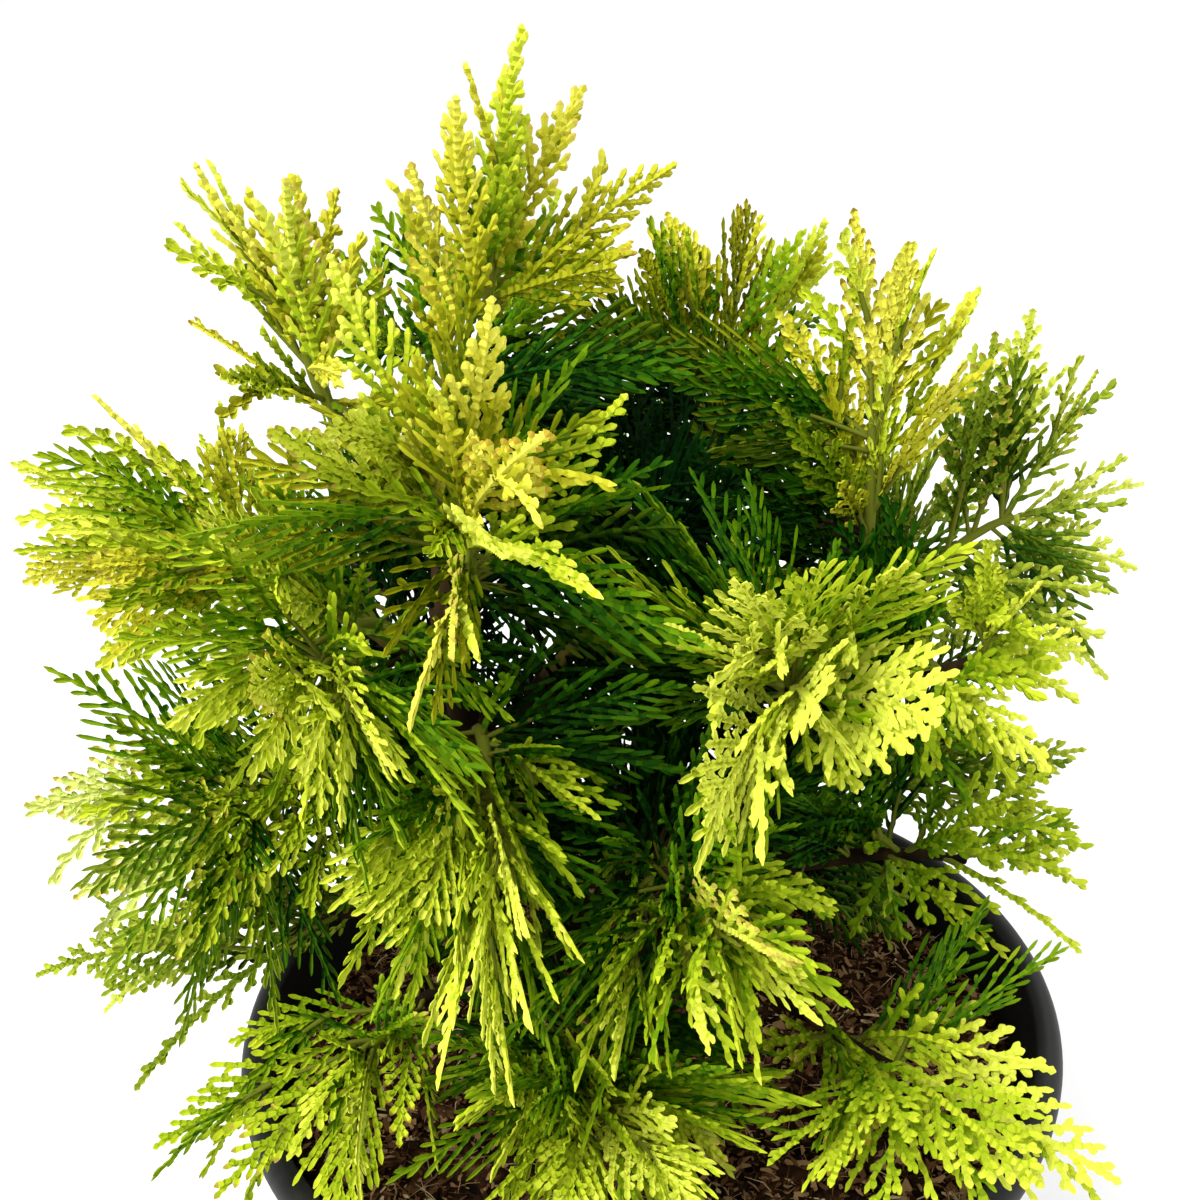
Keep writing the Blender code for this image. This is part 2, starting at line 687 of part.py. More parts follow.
def make_masses(limbs, skins):
    layout = mass_layout(limbs)
    trees = [tree_of(points, faces) for _, points, faces in limbs.values()]
    limb_points = [points for _, points, _ in limbs.values()]
    guards = (trees, limb_points)
    taken = []
    plans = []
    for name, (root, middle, end, home, lie, tips) in layout.items():
        others = [layout[o][3] for o in layout if o != name]
        stem = mass_stem(root, middle, end)
        parts = [stem]
        rng = random.Random(name)
        sprays = []
        for start, tip in spray_plan(name, root, middle, end, tips):
            found = fit_spray(start, tip, lie, rng, home, others, guards, parts)
            if found is None:
                continue
            parts.append(found[1])
            sprays.append(found[2])
            taken.append(found[2][0].lerp(found[2][2], 0.6))
        plans.append((name, root, middle, end, home, others, lie, parts, sprays, rng))
    for name, root, middle, end, home, others, lie, parts, sprays, rng in plans:
        reach = (end - root).length * 1.3
        wanted = BACK_SPRAYS if home.y > FRONT_EDGE else FRONT_SPRAYS
        while len(sprays) < wanted:
            best = None
            for _ in range(FILL_TRIES):
                start = bend(root, middle, end, rng.uniform(0.05, 0.6))
                aim = Vector((rng.gauss(0, 1), rng.gauss(0, 1), rng.gauss(0.25, 0.8))).normalized()
                tip = start + aim * reach * rng.uniform(0.7, 1.1)
                place = start.lerp(tip, 0.6)
                room = min((place - t).length for t in taken)
                if best is not None and room <= best[0]:
                    continue
                found = fit_spray(start, tip, lie, rng, home, others, guards, parts)
                if found is not None and found[0] > 0.7:
                    best = (room, found)
            if best is None:
                break
            parts.append(best[1][1])
            sprays.append(best[1][2])
            taken.append(best[1][2][0].lerp(best[1][2][2], 0.6))
    for number, (name, root, middle, end, home, others, lie, parts, sprays, rng) in enumerate(plans):
        join_mass("foliage_" + name, parts, skins[number % len(skins)])


def main():
    remove_everything()
    pot_skin = material("pot_plastic", (0.012, 0.013, 0.012), 0.42)
    soil_skin = material("soil_earth", (0.035, 0.022, 0.014), 0.95)
    bark_skin = material("bark", (0.16, 0.09, 0.05), 0.85)
    leaf_skins = [
        material("foliage_gold", (0.55, 0.58, 0.05), 0.55),
        material("foliage_lime", (0.34, 0.48, 0.04), 0.55),
        material("foliage_green", (0.17, 0.32, 0.04), 0.6),
    ]
    make_pot(pot_skin)
    make_soil(soil_skin)
    limbs = make_limbs(bark_skin)
    make_masses(limbs, leaf_skins)


main()
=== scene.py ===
"""The dressed view of a potted golden globe arborvitae.

The limbs and sprays follow the same seeded rule as the solids. Each spray is then
carried on to side shoots and scaly branchlets inside the reach of its blade."""
import math
import random

import bpy
import numpy as np
from mathutils import Matrix, Vector, noise
from mathutils.bvhtree import BVHTree


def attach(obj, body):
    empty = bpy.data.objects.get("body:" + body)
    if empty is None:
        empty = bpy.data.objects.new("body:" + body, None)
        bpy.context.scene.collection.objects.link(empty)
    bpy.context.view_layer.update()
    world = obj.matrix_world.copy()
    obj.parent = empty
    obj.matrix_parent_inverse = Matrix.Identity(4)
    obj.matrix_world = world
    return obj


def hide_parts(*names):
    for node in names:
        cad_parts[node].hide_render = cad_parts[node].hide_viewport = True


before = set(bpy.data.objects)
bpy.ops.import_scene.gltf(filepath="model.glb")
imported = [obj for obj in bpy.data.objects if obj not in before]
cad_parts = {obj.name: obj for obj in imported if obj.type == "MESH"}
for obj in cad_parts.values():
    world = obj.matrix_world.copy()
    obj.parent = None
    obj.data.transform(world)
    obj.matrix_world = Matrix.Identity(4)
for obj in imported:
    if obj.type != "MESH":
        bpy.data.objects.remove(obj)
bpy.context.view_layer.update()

MM = 0.001
SEED = 4107
GAP = 0.3

# Pot, lengths in millimetres
POT_HEIGHT = 150.0
POT_BASE_RADIUS = 69.0
POT_RIM_RADIUS = 95.8
POT_FLOOR = 2.2
POT_SIDES = 48
DRAIN_COUNT = 6
DRAIN_RADIUS = 4.5
DRAIN_CIRCLE = 50.0

# Soil
SOIL_LEVEL = 133.0
SOIL_FLAT_RADIUS = 24.0

# Trunk
TRUNK_FOOT_RADIUS = 10.5
TRUNK_RADIUS = 6.2
TRUNK_TIP_RADIUS = 1.7
TRUNK_SIDES = 10
BOUGH_SIDES = 5

# Foliage sprays
TWIG_SIDES = 3
STEM_RADIUS = 1.5
BLADE_THICK = 1.0
RACHIS_HALF = 1.15
TOOTH_ANGLE = 42.0
WIDTH_LOW = 0.50
WIDTH_HIGH = 0.60
ROLL_TRIES = 6
ROLL_SPREAD = 16.0
FRONT_EDGE = 45.0
FRONT_SPRAYS = 7
BACK_SPRAYS = 6
FILL_TRIES = 24
CELL_MARGIN = 0.45
LIMB_CLEAR = 0.7


# Trunk line from the soil up to its tip: x, y, z and the radius there
TRUNK_LINE = (
    (0, 0, SOIL_LEVEL + GAP, TRUNK_FOOT_RADIUS),
    (-1, 0, 138, 7.6),
    (-5, -1, 150, TRUNK_RADIUS),
    (-15, -4, 175, 5.4),
    (-27, -8, 203, 4.7),
    (-35, -10, 232, 4.0),
    (-38, -8, 258, 3.2),
    (-36, -4, 277, 2.5),
    (-31, 0, 293, TRUNK_TIP_RADIUS),
)

# Boughs: name, parent limb, height on the parent, middle point, end point,
# radius at the foot and at the end
BOUGHS = (
    ("bough_right_leader", "trunk", 156, (24, 0, 192), (46, 2, 244), 4.6, 2.0),
    ("bough_left", "trunk", 238, (-46, -5, 246), (-58, -2, 255), 2.6, 1.6),
    ("bough_lower_left", "trunk", 188, (-40, -2, 205), (-60, 0, 214), 2.8, 1.6),
    ("bough_low_left", "trunk", 158, (-34, 4, 168), (-54, 6, 172), 2.8, 1.6),
    ("bough_upper_left", "trunk", 278, (-42, -2, 284), (-49, 0, 289), 1.9, 1.5),
    ("bough_front_upper", "trunk", 256, (-33, -18, 263), (-31, -27, 270), 2.1, 1.5),
    ("bough_front_left", "trunk", 246, (-43, -20, 256), (-47, -28, 264), 2.4, 1.5),
    ("bough_front_droop", "trunk", 222, (-33, -22, 235), (-31, -32, 243), 2.6, 1.6),
    ("bough_front_centre", "trunk", 186, (-10, -20, 200), (-2, -33, 212), 2.8, 1.6),
    ("bough_front_low_left", "trunk", 166, (-30, -12, 171), (-44, -22, 173), 2.8, 1.6),
    ("bough_front_low_mid", "trunk", 150, (-8, -13, 156), (-11, -24, 161), 2.6, 1.6),
    ("bough_inner", "trunk", 216, (-20, 4, 233), (-8, 9, 243), 2.4, 1.5),
    ("bough_back_upper", "trunk", 272, (-37, 8, 282), (-36, 18, 290), 2.0, 1.5),
    ("bough_back_left", "trunk", 212, (-40, 10, 224), (-48, 26, 233), 2.8, 1.6),
    ("bough_back_low_left", "trunk", 170, (-28, 20, 176), (-40, 36, 178), 2.8, 1.6),
    ("bough_back_mid", "trunk", 200, (-20, 16, 216), (-14, 34, 230), 2.8, 1.6),
    ("bough_back_low", "trunk", 148, (-3, 20, 160), (-1, 38, 166), 2.8, 1.6),
    ("bough_back_centre", "bough_right_leader", 206, (26, 20, 226), (25, 34, 246), 2.6, 1.6),
    ("bough_right_upright", "bough_right_leader", 238, (48, 0, 252), (49, 1, 258), 1.9, 1.5),
    ("bough_right_back", "bough_right_leader", 228, (56, 14, 235), (66, 24, 242), 2.4, 1.6),
    ("bough_right_near", "bough_right_leader", 214, (32, -14, 228), (30, -27, 241), 2.4, 1.6),
    ("bough_right", "bough_right_leader", 222, (50, -9, 232), (58, -14, 239), 2.2, 1.5),
    ("bough_right_low", "bough_right_leader", 184, (36, -9, 192), (48, -16, 198), 2.6, 1.6),
    ("bough_front_low_right", "bough_right_leader", 170, (24, -18, 167), (33, -32, 169), 2.6, 1.6),
    ("bough_back_right", "bough_right_leader", 196, (34, 20, 204), (44, 36, 211), 2.6, 1.6),
    ("bough_back_low_right", "bough_right_leader", 178, (28, 18, 173), (40, 32, 173), 2.6, 1.6),
)

# Foliage masses: name, limb whose end carries the stem, how far the sprays lie
# over from upright (degrees), then the point each spray reaches
MASSES = (
    ("top", "trunk", 15, (
        (-15, 8, 367), (-4, 24, 354), (14, 32, 337), (-27, -6, 357),
        (-38, 4, 348), (-18, 40, 336), (-44, 15, 343))),
    ("upper_left", "bough_upper_left", 15, (
        (-76, 0, 347), (-85, 12, 334), (-58, -10, 345), (-88, 22, 312),
        (-54, 26, 340))),
    ("front_upper", "bough_front_upper", 14, (
        (-12, -84, 321), (-20, -62, 335), (-28, -88, 288), (-46, -46, 339),
        (-56, -62, 316), (0, -44, 313), (-19, -92, 306))),
    ("front_left", "bough_front_left", 18, (
        (-54, -78, 252), (-60, -82, 280), (-70, -58, 302), (-84, -32, 294),
        (-82, -58, 262), (-40, -84, 268), (-64, -70, 226))),
    ("left", "bough_left", 20, (
        (-110, 20, 298), (-130, 20, 284), (-134, 22, 255), (-116, -4, 245),
        (-104, -18, 276), (-92, 30, 285), (-76, 4, 298))),
    ("lower_left", "bough_lower_left", 20, (
        (-136, 0, 211), (-133, -12, 190), (-118, 18, 222), (-104, -40, 226),
        (-98, -40, 194), (-68, -35, 203), (-80, -20, 222))),
    ("low_left", "bough_low_left", 50, (
        (-153, 20, 148), (-140, 24, 132), (-118, -20, 146), (-99, 20, 150),
        (-130, 10, 162))),
    ("front_droop", "bough_front_droop", 14, (
        (-38, -80, 234), (-28, -92, 208), (-20, -92, 240), (-46, -74, 214),
        (-12, -72, 212), (-8, -60, 240))),
    ("front_centre", "bough_front_centre", 20, (
        (-8, -84, 202), (8, -92, 214), (28, -84, 212), (-14, -62, 232),
        (44, -68, 222), (18, -94, 236))),
    ("front_low_left", "bough_front_low_left", 65, (
        (-106, -46, 154), (-88, -66, 160), (-64, -76, 156), (-90, -34, 171),
        (-73, -64, 167), (-50, -68, 173))),
    ("front_low_mid", "bough_front_low_mid", 65, (
        (-45, -70, 158), (-18, -86, 172), (6, -90, 176), (22, -74, 160),
        (-30, -74, 190))),
    ("front_low_right", "bough_front_low_right", 65, (
        (85, -80, 167), (66, -92, 180), (78, -60, 176), (44, -84, 184),
        (38, -62, 187))),
    ("right_near", "bough_right_near", 22, (
        (-4, -70, 288), (14, -74, 292), (44, -62, 288), (46, -80, 268),
        (26, -86, 274), (8, -90, 258))),
    ("right", "bough_right", 22, (
        (84, -24, 246), (78, -24, 264), (66, -26, 284), (104, 6, 234),
        (76, -46, 236))),
    ("right_upright", "bough_right_upright", 10, (
        (46, 8, 331), (56, 4, 325), (74, 18, 312), (66, -6, 304),
        (28, -14, 300), (32, 14, 310))),
    ("right_low", "bough_right_low", 45, (
        (98, 0, 184), (92, -30, 180), (75, -34, 222), (68, -50, 196),
        (95, 5, 204))),
    ("right_back", "bough_right_back", 20, (
        (95, 50, 298), (111, 50, 283), (125, 50, 254), (122, 40, 236),
        (114, 30, 212), (84, 40, 296))),
    ("inner", "bough_inner", 25, (
        (8, 16, 292), (24, 10, 280), (-10, 34, 282), (12, -18, 270),
        (24, 16, 258), (-6, -12, 286))),
    ("back_centre", "bough_back_centre", 15, (
        (34, 78, 319), (54, 88, 312), (14, 74, 319), (7, 64, 313),
        (42, 72, 292), (-6, 60, 272), (18, 62, 270))),
    ("back_upper", "bough_back_upper", 20, (
        (-45, 55, 328), (-14, 62, 322), (-64, 46, 320), (-34, 78, 304),
        (-72, 60, 300), (1, 52, 316))),
    ("back_left", "bough_back_left", 25, (
        (-100, 76, 262), (-112, 62, 236), (-72, 100, 252), (-60, 92, 280),
        (-92, 92, 216))),
    ("back_low_left", "bough_back_low_left", 50, (
        (-112, 72, 166), (-92, 102, 168), (-60, 116, 168), (-116, 56, 190),
        (-72, 106, 200))),
    ("back_mid", "bough_back_mid", 20, (
        (-18, 110, 268), (12, 112, 250), (-36, 106, 240), (4, 98, 282),
        (-20, 92, 290), (2, 72, 262))),
    ("back_low", "bough_back_low", 50, (
        (-22, 116, 168), (14, 118, 172), (-4, 112, 204), (30, 104, 196))),
    ("back_right", "bough_back_right", 25, (
        (96, 94, 240), (74, 112, 222), (112, 76, 216), (62, 110, 256),
        (86, 82, 266))),
    ("back_low_right", "bough_back_low_right", 50, (
        (106, 72, 170), (84, 100, 166), (56, 114, 174), (116, 44, 184))),
)


def ring_skin(rings):
    """Join closed rings of equal count into one capped tube."""
    sides = len(rings[0])
    points = [p for ring in rings for p in ring]
    faces = []
    for r in range(len(rings) - 1):
        for s in range(sides):
            a = r * sides + s
            b = r * sides + (s + 1) % sides
            faces.append((a, b, b + sides, a + sides))
    faces.append(tuple(range(sides - 1, -1, -1)))
    last = (len(rings) - 1) * sides
    faces.append(tuple(range(last, last + sides)))
    return points, faces


def side_frame(direction, hint):
    """Return two unit vectors square to the direction, the first near the hint."""
    direction = direction.normalized()
    first = hint - direction * hint.dot(direction)
    if first.length < 1e-4:
        other = Vector((1.0, 0.2, 0.0))
        first = other - direction * other.dot(direction)
    first.normalize()
    return first, direction.cross(first)


def tube(centres, radii, sides, foot_aim=None):
    """Points and faces of a tapering limb along the centres."""
    rings = []
    hint = Vector((0.3, 1.0, 0.15))
    count = len(centres)
    for k, centre in enumerate(centres):
        ahead = centres[min(k + 1, count - 1)]
        behind = centres[max(k - 1, 0)]
        direction = (ahead - behind).normalized()
        if foot_aim is not None and k == 0:
            direction = foot_aim
        first, second = side_frame(direction, hint)
        hint = first
        ring = []
        for s in range(sides):
            angle = 2 * math.pi * s / sides
            spoke = first * math.cos(angle) + second * math.sin(angle)
            ring.append(centre + spoke * radii[k])
        rings.append(ring)
    return ring_skin(rings)


def bend(start, middle, end, t):
    """A point on the bent line that starts, heads for the middle and ends."""
    return start * (1 - t) ** 2 + middle * (2 * t * (1 - t)) + end * t ** 2


def heading(start, middle, end, t):
    return ((middle - start) * (1 - t) + (end - middle) * t).normalized()


def tree_of(points, faces):
    return BVHTree.FromPolygons([tuple(p) for p in points], faces)


def limb_line(points, steps):
    """Round off a line of control points into evenly spaced centres."""
    padded = [points[0] * 2 - points[1]] + list(points) + [points[-1] * 2 - points[-2]]
    centres = []
    for k in range(len(points) - 1):
        a, b, c, d = padded[k:k + 4]
        for i in range(steps):
            t = i / steps
            centres.append(0.5 * (2 * b + (c - a) * t + (2 * a - 5 * b + 4 * c - d) * t ** 2
                                  + (3 * b - a - 3 * c + d) * t ** 3))
    centres.append(points[-1])
    return centres


def make_limbs():
    """Trunk first, then each bough set just clear of the limb that carries it."""
    limbs = {}
    centres = [Vector(row[:3]) for row in TRUNK_LINE]
    radii = [row[3] for row in TRUNK_LINE]
    points, faces = tube(centres, radii, TRUNK_SIDES, Vector((0.0, 0.0, 1.0)))
    limbs["trunk"] = (centres, points, faces, radii)
    for name, parent, height, middle, end, thick, thin in BOUGHS:
        line, parent_points, parent_faces, _ = limbs[parent]
        near = min(range(len(line) - 1),
                   key=lambda k: abs((line[k].z + line[k + 1].z) / 2 - height))
        span = line[near + 1].z - line[near].z
        share = min(max((height - line[near].z) / span, 0.0), 1.0)
        foot = line[near].lerp(line[near + 1], share)
        middle = Vector(middle)
        end = Vector(end)
        bark = tree_of(parent_points, parent_faces)
        out = (middle - foot).normalized()
        slide = 0.0
        while True:
            start = foot + out * slide
            rest = limb_line([start, middle, end], 2)
            sizes = [thick + (thin - thick) * k / (len(rest) - 1) for k in range(len(rest))]
            bough_points, bough_faces = tube(rest, sizes, BOUGH_SIDES)
            crossed = bark.overlap(tree_of(bough_points, bough_faces))
            nearest = min(bark.find_nearest(p)[3] for p in bough_points[:BOUGH_SIDES])
            if not crossed and nearest >= GAP and outside_of(bark, start):
                break
            slide += 0.1
        limbs[name] = (rest, bough_points, bough_faces, sizes)
    return limbs


def outside_of(bark, point):
    """True when the point lies on the outer side of the nearest face."""
    place, normal, _, _ = bark.find_nearest(point)
    return (point - place).dot(normal) > 0


def mass_layout(limbs):
    """Stem line and home point of every mass, worked out from its carrying limb."""
    layout = {}
    for name, carrier, lie, tips in MASSES:
        line = limbs[carrier][0]
        aim = (line[-1] - line[-2]).normalized()
        tips = [Vector(t) for t in tips]
        centre = sum(tips, Vector()) / len(tips)
        root = line[-1] + aim * GAP
        reach = (centre - root).length
        end = root.lerp(centre, 0.55)
        middle = root + aim * reach * 0.3
        home = root.lerp(centre, 0.5)
        layout[name] = (root, middle, end, home, lie, tips)
    return layout


def spray_plan(name, root, middle, end, tips):
    """Where each spray of a mass leaves the stem and the point it grows to."""
    axis = (end - root).normalized()
    order = sorted(range(len(tips)), key=lambda k: (tips[k] - root).dot(axis))
    plan = []
    for place, k in enumerate(order):
        along = min(0.12 + 0.88 * (place + 0.5) / len(order), 0.97)
        plan.append((bend(root, middle, end, along), tips[k]))
    return plan


def spray_shape(start, tip, lie, spread, rng):
    """Bent line, sideways direction and width of one spray."""
    length = (tip - start).length
    out = Vector((tip.x, tip.y, 0.0)).normalized()
    lift = Vector((0.0, 0.0, 1.0)) * 0.10 + out * 0.06
    bow = start.lerp(tip, 0.5) + lift * length * rng.uniform(0.5, 1.4)
    flow = (tip - start).normalized()
    upright = Vector((0.0, 0.0, 1.0)) * 0.8 + out * 0.6
    first, second = side_frame(flow, upright)
    roll = math.radians(lie + rng.uniform(-spread, spread))
    side = first * math.cos(roll) + second * math.sin(roll)
    face_up = flow.cross(side)
    outward = 1.0 if tip.y > FRONT_EDGE else -1.0
    if face_up.z * face_up.y * outward < 0.0 and rng.random() > 0.15:
        side = first * math.cos(roll) - second * math.sin(roll)
    width = length * rng.uniform(WIDTH_LOW, WIDTH_HIGH)
    return bow, side, width


def blade(start, bow, tip, side, width, teeth):
    """A toothed blade: a thin strip on the bent line with slanting teeth on both sides."""
    first_at = 0.22
    lean = math.radians(TOOTH_ANGLE)
    top = []
    aim = heading(start, bow, tip, 0.0)
    across, _ = side_frame(aim, side)
    for hand in (1.0, -1.0):
        top.append((start + across * RACHIS_HALF * hand, aim, across, 0.0))
    for k in range(teeth + 1):
        for hand in (1.0, -1.0):
            shift = 0.0 if hand > 0 else 0.5 / teeth
            t = first_at + (0.95 - first_at) * min((k / teeth) + shift * (k < teeth), 1.0)
            centre = bend(start, bow, tip, t)
            aim = heading(start, bow, tip, t)
            across, _ = side_frame(aim, side)
            half = RACHIS_HALF * (1.0 - 0.45 * k / teeth)
            top.append((centre + across * half * hand, aim, across, t))
    points = [item[0] for item in top]
    strip = []
    for k in range(teeth + 1):
        a, b = 2 * k, 2 * k + 1
        c, d = 2 * k + 3, 2 * k + 2
        strip.append((a, b, c))
        strip.append((a, c, d))
    for k in range(teeth):
        for hand, low, high in ((1.0, 2 * k + 2, 2 * k + 4), (-1.0, 2 * k + 3, 2 * k + 5)):
            base = (top[low][0] + top[high][0]) * 0.5
            aim, across, t = top[low][1], top[low][2], top[low][3]
            swell = math.sin(math.pi * min(max((t - 0.12) / 0.95, 0.0), 1.0)) ** 0.7
            reach = width * max(swell, 0.25)
            room = (tip - base).length * 0.95
            reach = min(reach, room)
            corner = base + aim * reach * math.cos(lean) + across * hand * reach * math.sin(lean)
            points.append(corner)
            new = len(points) - 1
            if hand > 0:
                strip.append((low, high, new))
            else:
                strip.append((low, new, high))
    points.append(tip.copy())
    last = len(points) - 1
    strip.append((2 * teeth + 2, 2 * teeth + 3, last))
    flow = heading(start, bow, tip, 0.6)
    _, face_up = side_frame(flow, side)
    sharp = set(range(2 * teeth + 4, len(points)))
    return thicken(points, strip, sharp, face_up * (BLADE_THICK / 2))


def thicken(points, strip, sharp, half):
    """Give a flat sheet of triangles its thickness, running out to nothing at sharp points."""
    both = []
    upper = {}
    lower = {}
    for k, p in enumerate(points):
        upper[k] = len(both)
        lower[k] = len(both)
        if k in sharp:
            both.append(p)
        else:
            both.append(p + half)
            lower[k] = len(both)
            both.append(p - half)
    faces = [tuple(upper[i] for i in f) for f in strip]
    faces += [tuple(lower[i] for i in reversed(f)) for f in strip]
    edges = set()
    for a, b, c in strip:
        edges.update(((a, b), (b, c), (c, a)))
    for a, b in sorted(edges):
        if (b, a) in edges:
            continue
        rim = [upper[b], upper[a]]
        if a not in sharp:
            rim.append(lower[a])
        if b not in sharp:
            rim.append(lower[b])
        faces.append(tuple(rim))
    return both, faces


def mass_stem(root, middle, end):
    """Three-sided stem whose foot lies square to the end of its bough."""
    stops = (0.0, 0.35, 0.7, 1.0)
    line = [bend(root, middle, end, t) for t in stops]
    sizes = [STEM_RADIUS * (1.0 - 0.35 * t) for t in stops]
    return tube(line, sizes, TWIG_SIDES, (middle - root).normalized())


def in_own_cell(points, home, others):
    """True when every point lies on its own side of the plane to each neighbour."""
    for other in others:
        gap = other - home
        span = gap.length
        limit = span * 0.5 - CELL_MARGIN
        unit = gap / span
        for p in points:
            if (p - home).dot(unit) > limit:
                return False
    return True


def clear_of_pot(points):
    for p in points:
        r = math.hypot(p.x, p.y)
        if r < 98.0 and p.z < (POT_HEIGHT + 1.2 if r > 84.0 else SOIL_LEVEL + 3.0):
            return False
    return True


def fill_in(points, faces):
    """Corners plus points spread over the faces, for distance tests."""
    probes = list(points)
    for face in faces:
        corners = [points[i] for i in face]
        middle = sum(corners, Vector()) / len(corners)
        probes.append(middle)
        for k, corner in enumerate(corners):
            probes.append(corner.lerp(corners[(k + 1) % len(corners)], 0.5))
    return probes


def clear_of_limbs(points, faces, probes, trees, limb_points):
    shape = tree_of(points, faces)
    for bark, corners in zip(trees, limb_points):
        if bark.overlap(shape):
            return False
        for p in probes:
            if bark.find_nearest(p, LIMB_CLEAR)[0] is not None:
                return False
        for p in corners:
            if shape.find_nearest(p, LIMB_CLEAR)[0] is not None:
                return False
    return True


def fit_spray(start, tip, lie, rng, home, others, guards, parts):
    """The fullest form of a spray that keeps to its cell and clear of pot and limbs.

    Of the forms with equal size, the one that crosses its neighbours least is taken."""
    forms = [spray_shape(start, tip, lie, ROLL_SPREAD, rng) for _ in range(ROLL_TRIES)]
    mates = [tree_of(*part) for part in parts]
    for short in (1.0, 0.92, 0.84, 0.75, 0.65, 0.55):
        best = None
        for bow, side, width in forms:
            far = start.lerp(tip, short)
            turn = start.lerp(bow, short)
            teeth = 4 if (far - start).length > 56.0 else 3
            for slim in (1.0, 0.8):
                shape = blade(start, turn, far, side, width * slim * short, teeth)
                probes = fill_in(*shape)
                if not in_own_cell(shape[0], home, others):
                    continue
                if not clear_of_pot(probes):
                    continue
                if not clear_of_limbs(shape[0], shape[1], probes, *guards):
                    continue
                tree = tree_of(*shape)
                crossings = sum(len(tree.overlap(mate)) for mate in mates)
                score = crossings + (8 if slim < 1.0 else 0)
                if best is None or score < best[0]:
                    best = (score, shape, (start, turn, far, side, width * slim * short))
                break
        if best is not None:
            return short, best[1], best[2]
    return None


def plan_masses(limbs):
    """Every mass with its stem and its sprays, by the rule that the solids follow."""
    layout = mass_layout(limbs)
    trees = [tree_of(limb[1], limb[2]) for limb in limbs.values()]
    limb_points = [limb[1] for limb in limbs.values()]
    guards = (trees, limb_points)
    taken = []
    plans = []
    for name, (root, middle, end, home, lie, tips) in layout.items():
        others = [layout[o][3] for o in layout if o != name]
        stem = mass_stem(root, middle, end)
        parts = [stem]
        rng = random.Random(name)
        sprays = []
        for start, tip in spray_plan(name, root, middle, end, tips):
            found = fit_spray(start, tip, lie, rng, home, others, guards, parts)
            if found is None:
                continue
            parts.append(found[1])
            sprays.append(found[2])
            taken.append(found[2][0].lerp(found[2][2], 0.6))
        plans.append((name, root, middle, end, home, others, lie, parts, sprays, rng))
    for name, root, middle, end, home, others, lie, parts, sprays, rng in plans:
        reach = (end - root).length * 1.3
        wanted = BACK_SPRAYS if home.y > FRONT_EDGE else FRONT_SPRAYS
        while len(sprays) < wanted:
            best = None
            for _ in range(FILL_TRIES):
                start = bend(root, middle, end, rng.uniform(0.05, 0.6))
                aim = Vector((rng.gauss(0, 1), rng.gauss(0, 1), rng.gauss(0.25, 0.8))).normalized()
                tip = start + aim * reach * rng.uniform(0.7, 1.1)
                place = start.lerp(tip, 0.6)
                room = min((place - t).length for t in taken)
                if best is not None and room <= best[0]:
                    continue
                found = fit_spray(start, tip, lie, rng, home, others, guards, parts)
                if found is not None and found[0] > 0.7:
                    best = (room, found)
            if best is None:
                break
            parts.append(best[1][1])
            sprays.append(best[1][2])
            taken.append(best[1][2][0].lerp(best[1][2][2], 0.6))
    return plans


# Scaly branchlets, lengths in millimetres, from the finest detail to the plainest
NODE_LENGTHS = (1.6, 2.1, 2.8)
BRANCHLET_HALVES = (1.06, 0.98, 0.92)
# How far each scale's painted lit band rises and its painted shade at the crease sinks, in colour levels
SCALE_LIT_AND_SHADE_BANDS = (0.36, 0.32, 0.26)
SHOOT_SPACINGS = (2.2, 2.1, 2.4)
LOBE_SPACINGS = (1.9, 2.5, 3.4)

# Companion sprays beside each planned one, and small shaded ones deep inside
COMPANIONS_FRONT = 2
COMPANIONS_BACK = 1
COMPANIONS = {"front_low_mid": 9, "front_low_right": 1, "front_low_left": 2, "front_droop": 5,
              "front_centre": 6, "front_left": 4, "front_upper": 2, "right_low": 3, "right": 3,
              "right_near": 3, "lower_left": 4, "left": 4, "upper_left": 3, "back_centre": 3,
              "back_low": 3, "back_low_left": 3, "back_low_right": 3, "back_mid": 2,
              "back_left": 2, "back_right": 3}
INNER_SPRAYS = 38
INNER_MORE = {"top": 18, "front_low_mid": 60, "front_low_left": 14, "front_low_right": 12,
              "inner": 76, "lower_left": 50, "upper_left": 16, "front_droop": 56,
              "front_centre": 58, "low_left": 22, "left": 30, "right_upright": 26,
              "front_left": 52, "back_low": 50, "back_mid": 50}

# How far from the planned sprays an inner one may end outside the heart of the crown
NEARNESS = {"top": 3.0, "upper_left": 3.0, "front_low_mid": 14.0, "right_back": 4.0,
            "right_upright": 4.0, "low_left": 3.0, "left": 7.0, "lower_left": 14.0, "front_left": 12.0,
            "right_low": 4.0, "right": 5.0, "front_low_left": 4.0, "back_upper": 4.0}

# How far a companion may lie from the planned sprays
COMPANION_ROOM = {"front_low_mid": 22.0, "front_centre": 12.0, "front_droop": 11.0,
                  "front_low_right": 18.0, "front_low_left": 14.0}

# Tips of sprays that stay slim and stand alone, and how slim each is
THIN_TIPS = (((-88, 22, 312), 0.4), ((-118, -20, 146), 0.45), ((92, -30, 180), 0.5),
             ((-104, -40, 226), 0.6), ((-140, 24, 132), 0.6), ((-133, -12, 190), 0.5))

